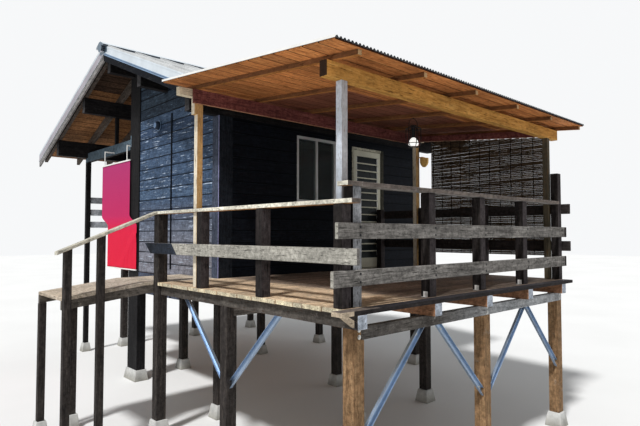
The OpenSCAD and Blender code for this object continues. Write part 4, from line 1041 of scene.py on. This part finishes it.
def make_bolts():
    """Bolts of the braces and the stilts, bolt heads in the front planks, and post brackets."""
    bolts = Build()
    leg, girder_z, stilt, front = 0.790, -0.258, 0.125, (0, -1, 0)
    for x, side in ((0.223, 1), (MIDDLE_STILT, -1), (MIDDLE_STILT + stilt, 1), (3.870, -1)):
        for t in (0.07, 0.93):
            u = leg * t
            hex_bolt(bolts, (x + side * u, 0.0415, girder_z - leg + u), front, 0.009)
    for x in (0.098, MIDDLE_STILT, 3.870):
        for z in (-0.175, -0.232):
            hex_bolt(bolts, (x + stilt / 2, 0.0, z), front)
    bolts.finish("bolts", M["hinge_steel"], slot="galvanised")
    heads = Build()
    for x in (0.125, *INNER_POSTS, 4.020):
        for z in (0.205, 0.272, 0.583, 0.650):
            hex_bolt(heads, (x + 0.05, -0.005, z), front, 0.006, 0.005)
    heads.finish("plank_bolts", M["black_iron"], slot="galvanised")
    brackets = Build()
    y0, y1, plate = 0.056, 0.104, 0.003
    for x in INNER_POSTS:
        brackets.box((x - plate, y0, 0.0), (x, y1, 0.052))
        brackets.box((x - 0.038, y0, 0.0), (x - plate, y1, plate))
        for z in (0.020, 0.040):
            hex_bolt(brackets, (x - plate, (y0 + y1) / 2, z), (-1, 0, 0), 0.005, 0.006)
    brackets.finish("post_brackets", M["white_bar"], slot="galvanised")


make_bolts()


def make_louvre_edges():
    """Bright ground edges and clips of the glass blades in the deck door."""
    edges, clips = Build(), Build()
    blades, leaf_z, foot_rail, stile, clip_w = 14, 0.022, 0.150, 0.072, 0.012
    x0, x1, bay = 3.476 + stile, 4.156 - stile, (1.995 - 0.245) / blades
    for i in range(blades):
        z = leaf_z + foot_rail + i * bay
        edges.box((x0, 3.1915, z - 0.004), (x1, 3.199, z + 0.016))
        for x in (x0, x1 - clip_w):
            clips.box((x, 3.1935, z + 0.012), (x + clip_w, 3.2245, z + bay - 0.010))
    edges.finish("louvre_edges", M["cream_paint"], "door", "cream_paint", 0.001)
    clips.finish("louvre_clips", M["window_alu"], "door", "window_alu", 0.001)


make_louvre_edges()


# ---------------------------------------------------------------- lamps

def lamp_material(name, color, glow, left=None):
    """A lit or pale shell; left is the colour of the lamp on the gable, which shares the node."""
    s = Shade(name, 0.3, 0.0, color)
    cloud = s.noise(s.where, 12.0, 3.0, 0.5)
    tone = s.ramp(cloud, [(0.3, dim(color, 0.85)), (0.7, color)])
    if left:
        side = s.beyond("X", 2.0, -1)
        tone = s.mix(side, tone, dim(left, 0.15))
        tone = s.mix(s.both(side, s.facing("X", -1)), tone, left)
    s.color(tone)
    s.bsdf.inputs["Emission Color"].default_value = (*color, 1)
    s.bsdf.inputs["Emission Strength"].default_value = glow
    s.bump(cloud, 0.05, 0.001)
    return s.mat


dress("lantern_globe", lamp_material("opal_glass", (0.94, 0.93, 0.90), 0.9))
dress("house_lamps", lamp_material("lamp_shell", (0.86, 0.52, 0.16), 0.0, (0.13, 0.20, 0.32)))


# ---------------------------------------------------------------- studio

def make_studio():
    mesh = bpy.data.meshes.new("floor")
    half = 60.0
    corners = [(-half, -half, 0), (half, -half, 0), (half, half, 0), (-half, half, 0)]
    mesh.from_pydata(corners, [], [(0, 1, 2, 3)])
    floor = bpy.data.objects.new("floor", mesh)
    bpy.context.scene.collection.objects.link(floor)
    s = Shade("floor_paint", 0.9)
    cloud = s.noise(s.where, 0.4, 3.0, 0.5)
    s.color(s.ramp(cloud, [(0.3, (0.76, 0.76, 0.75)), (0.7, (0.80, 0.80, 0.79))]))
    mesh.materials.append(s.mat)

    sun = bpy.data.lights.new("key", "SUN")
    sun.energy = 3.2
    sun.angle = math.radians(6)
    lamp = bpy.data.objects.new("key", sun)
    lamp.rotation_euler = Vector((0.66, 0.22, -1.0)).to_track_quat("-Z", "Y").to_euler()
    bpy.context.scene.collection.objects.link(lamp)

    # A soft sky lights the part; the camera, glass and metal see a plain pale one
    world = bpy.data.worlds.new("studio")
    bpy.context.scene.world = world
    world.use_nodes = True
    tree = world.node_tree
    tree.nodes.clear()
    skies = []
    for color, strength in (((0.96, 0.98, 1.0, 1), 0.45), ((0.93, 0.94, 0.95, 1), 1.0)):
        sky = tree.nodes.new("ShaderNodeBackground")
        sky.inputs["Color"].default_value = color
        sky.inputs["Strength"].default_value = strength
        skies.append(sky)
    path = tree.nodes.new("ShaderNodeLightPath")
    seen = path.outputs["Is Camera Ray"]
    for ray in ("Is Glossy Ray", "Is Transmission Ray"):
        either = tree.nodes.new("ShaderNodeMath")
        either.operation = "MAXIMUM"
        tree.links.new(seen, either.inputs[0])
        tree.links.new(path.outputs[ray], either.inputs[1])
        seen = either.outputs[0]
    mix = tree.nodes.new("ShaderNodeMixShader")
    for slot, source in enumerate((seen, skies[0].outputs[0], skies[1].outputs[0])):
        tree.links.new(source, mix.inputs[slot])
    out = tree.nodes.new("ShaderNodeOutputWorld")
    tree.links.new(mix.outputs[0], out.inputs["Surface"])
    bpy.context.scene.view_settings.view_transform = "Standard"


make_studio()
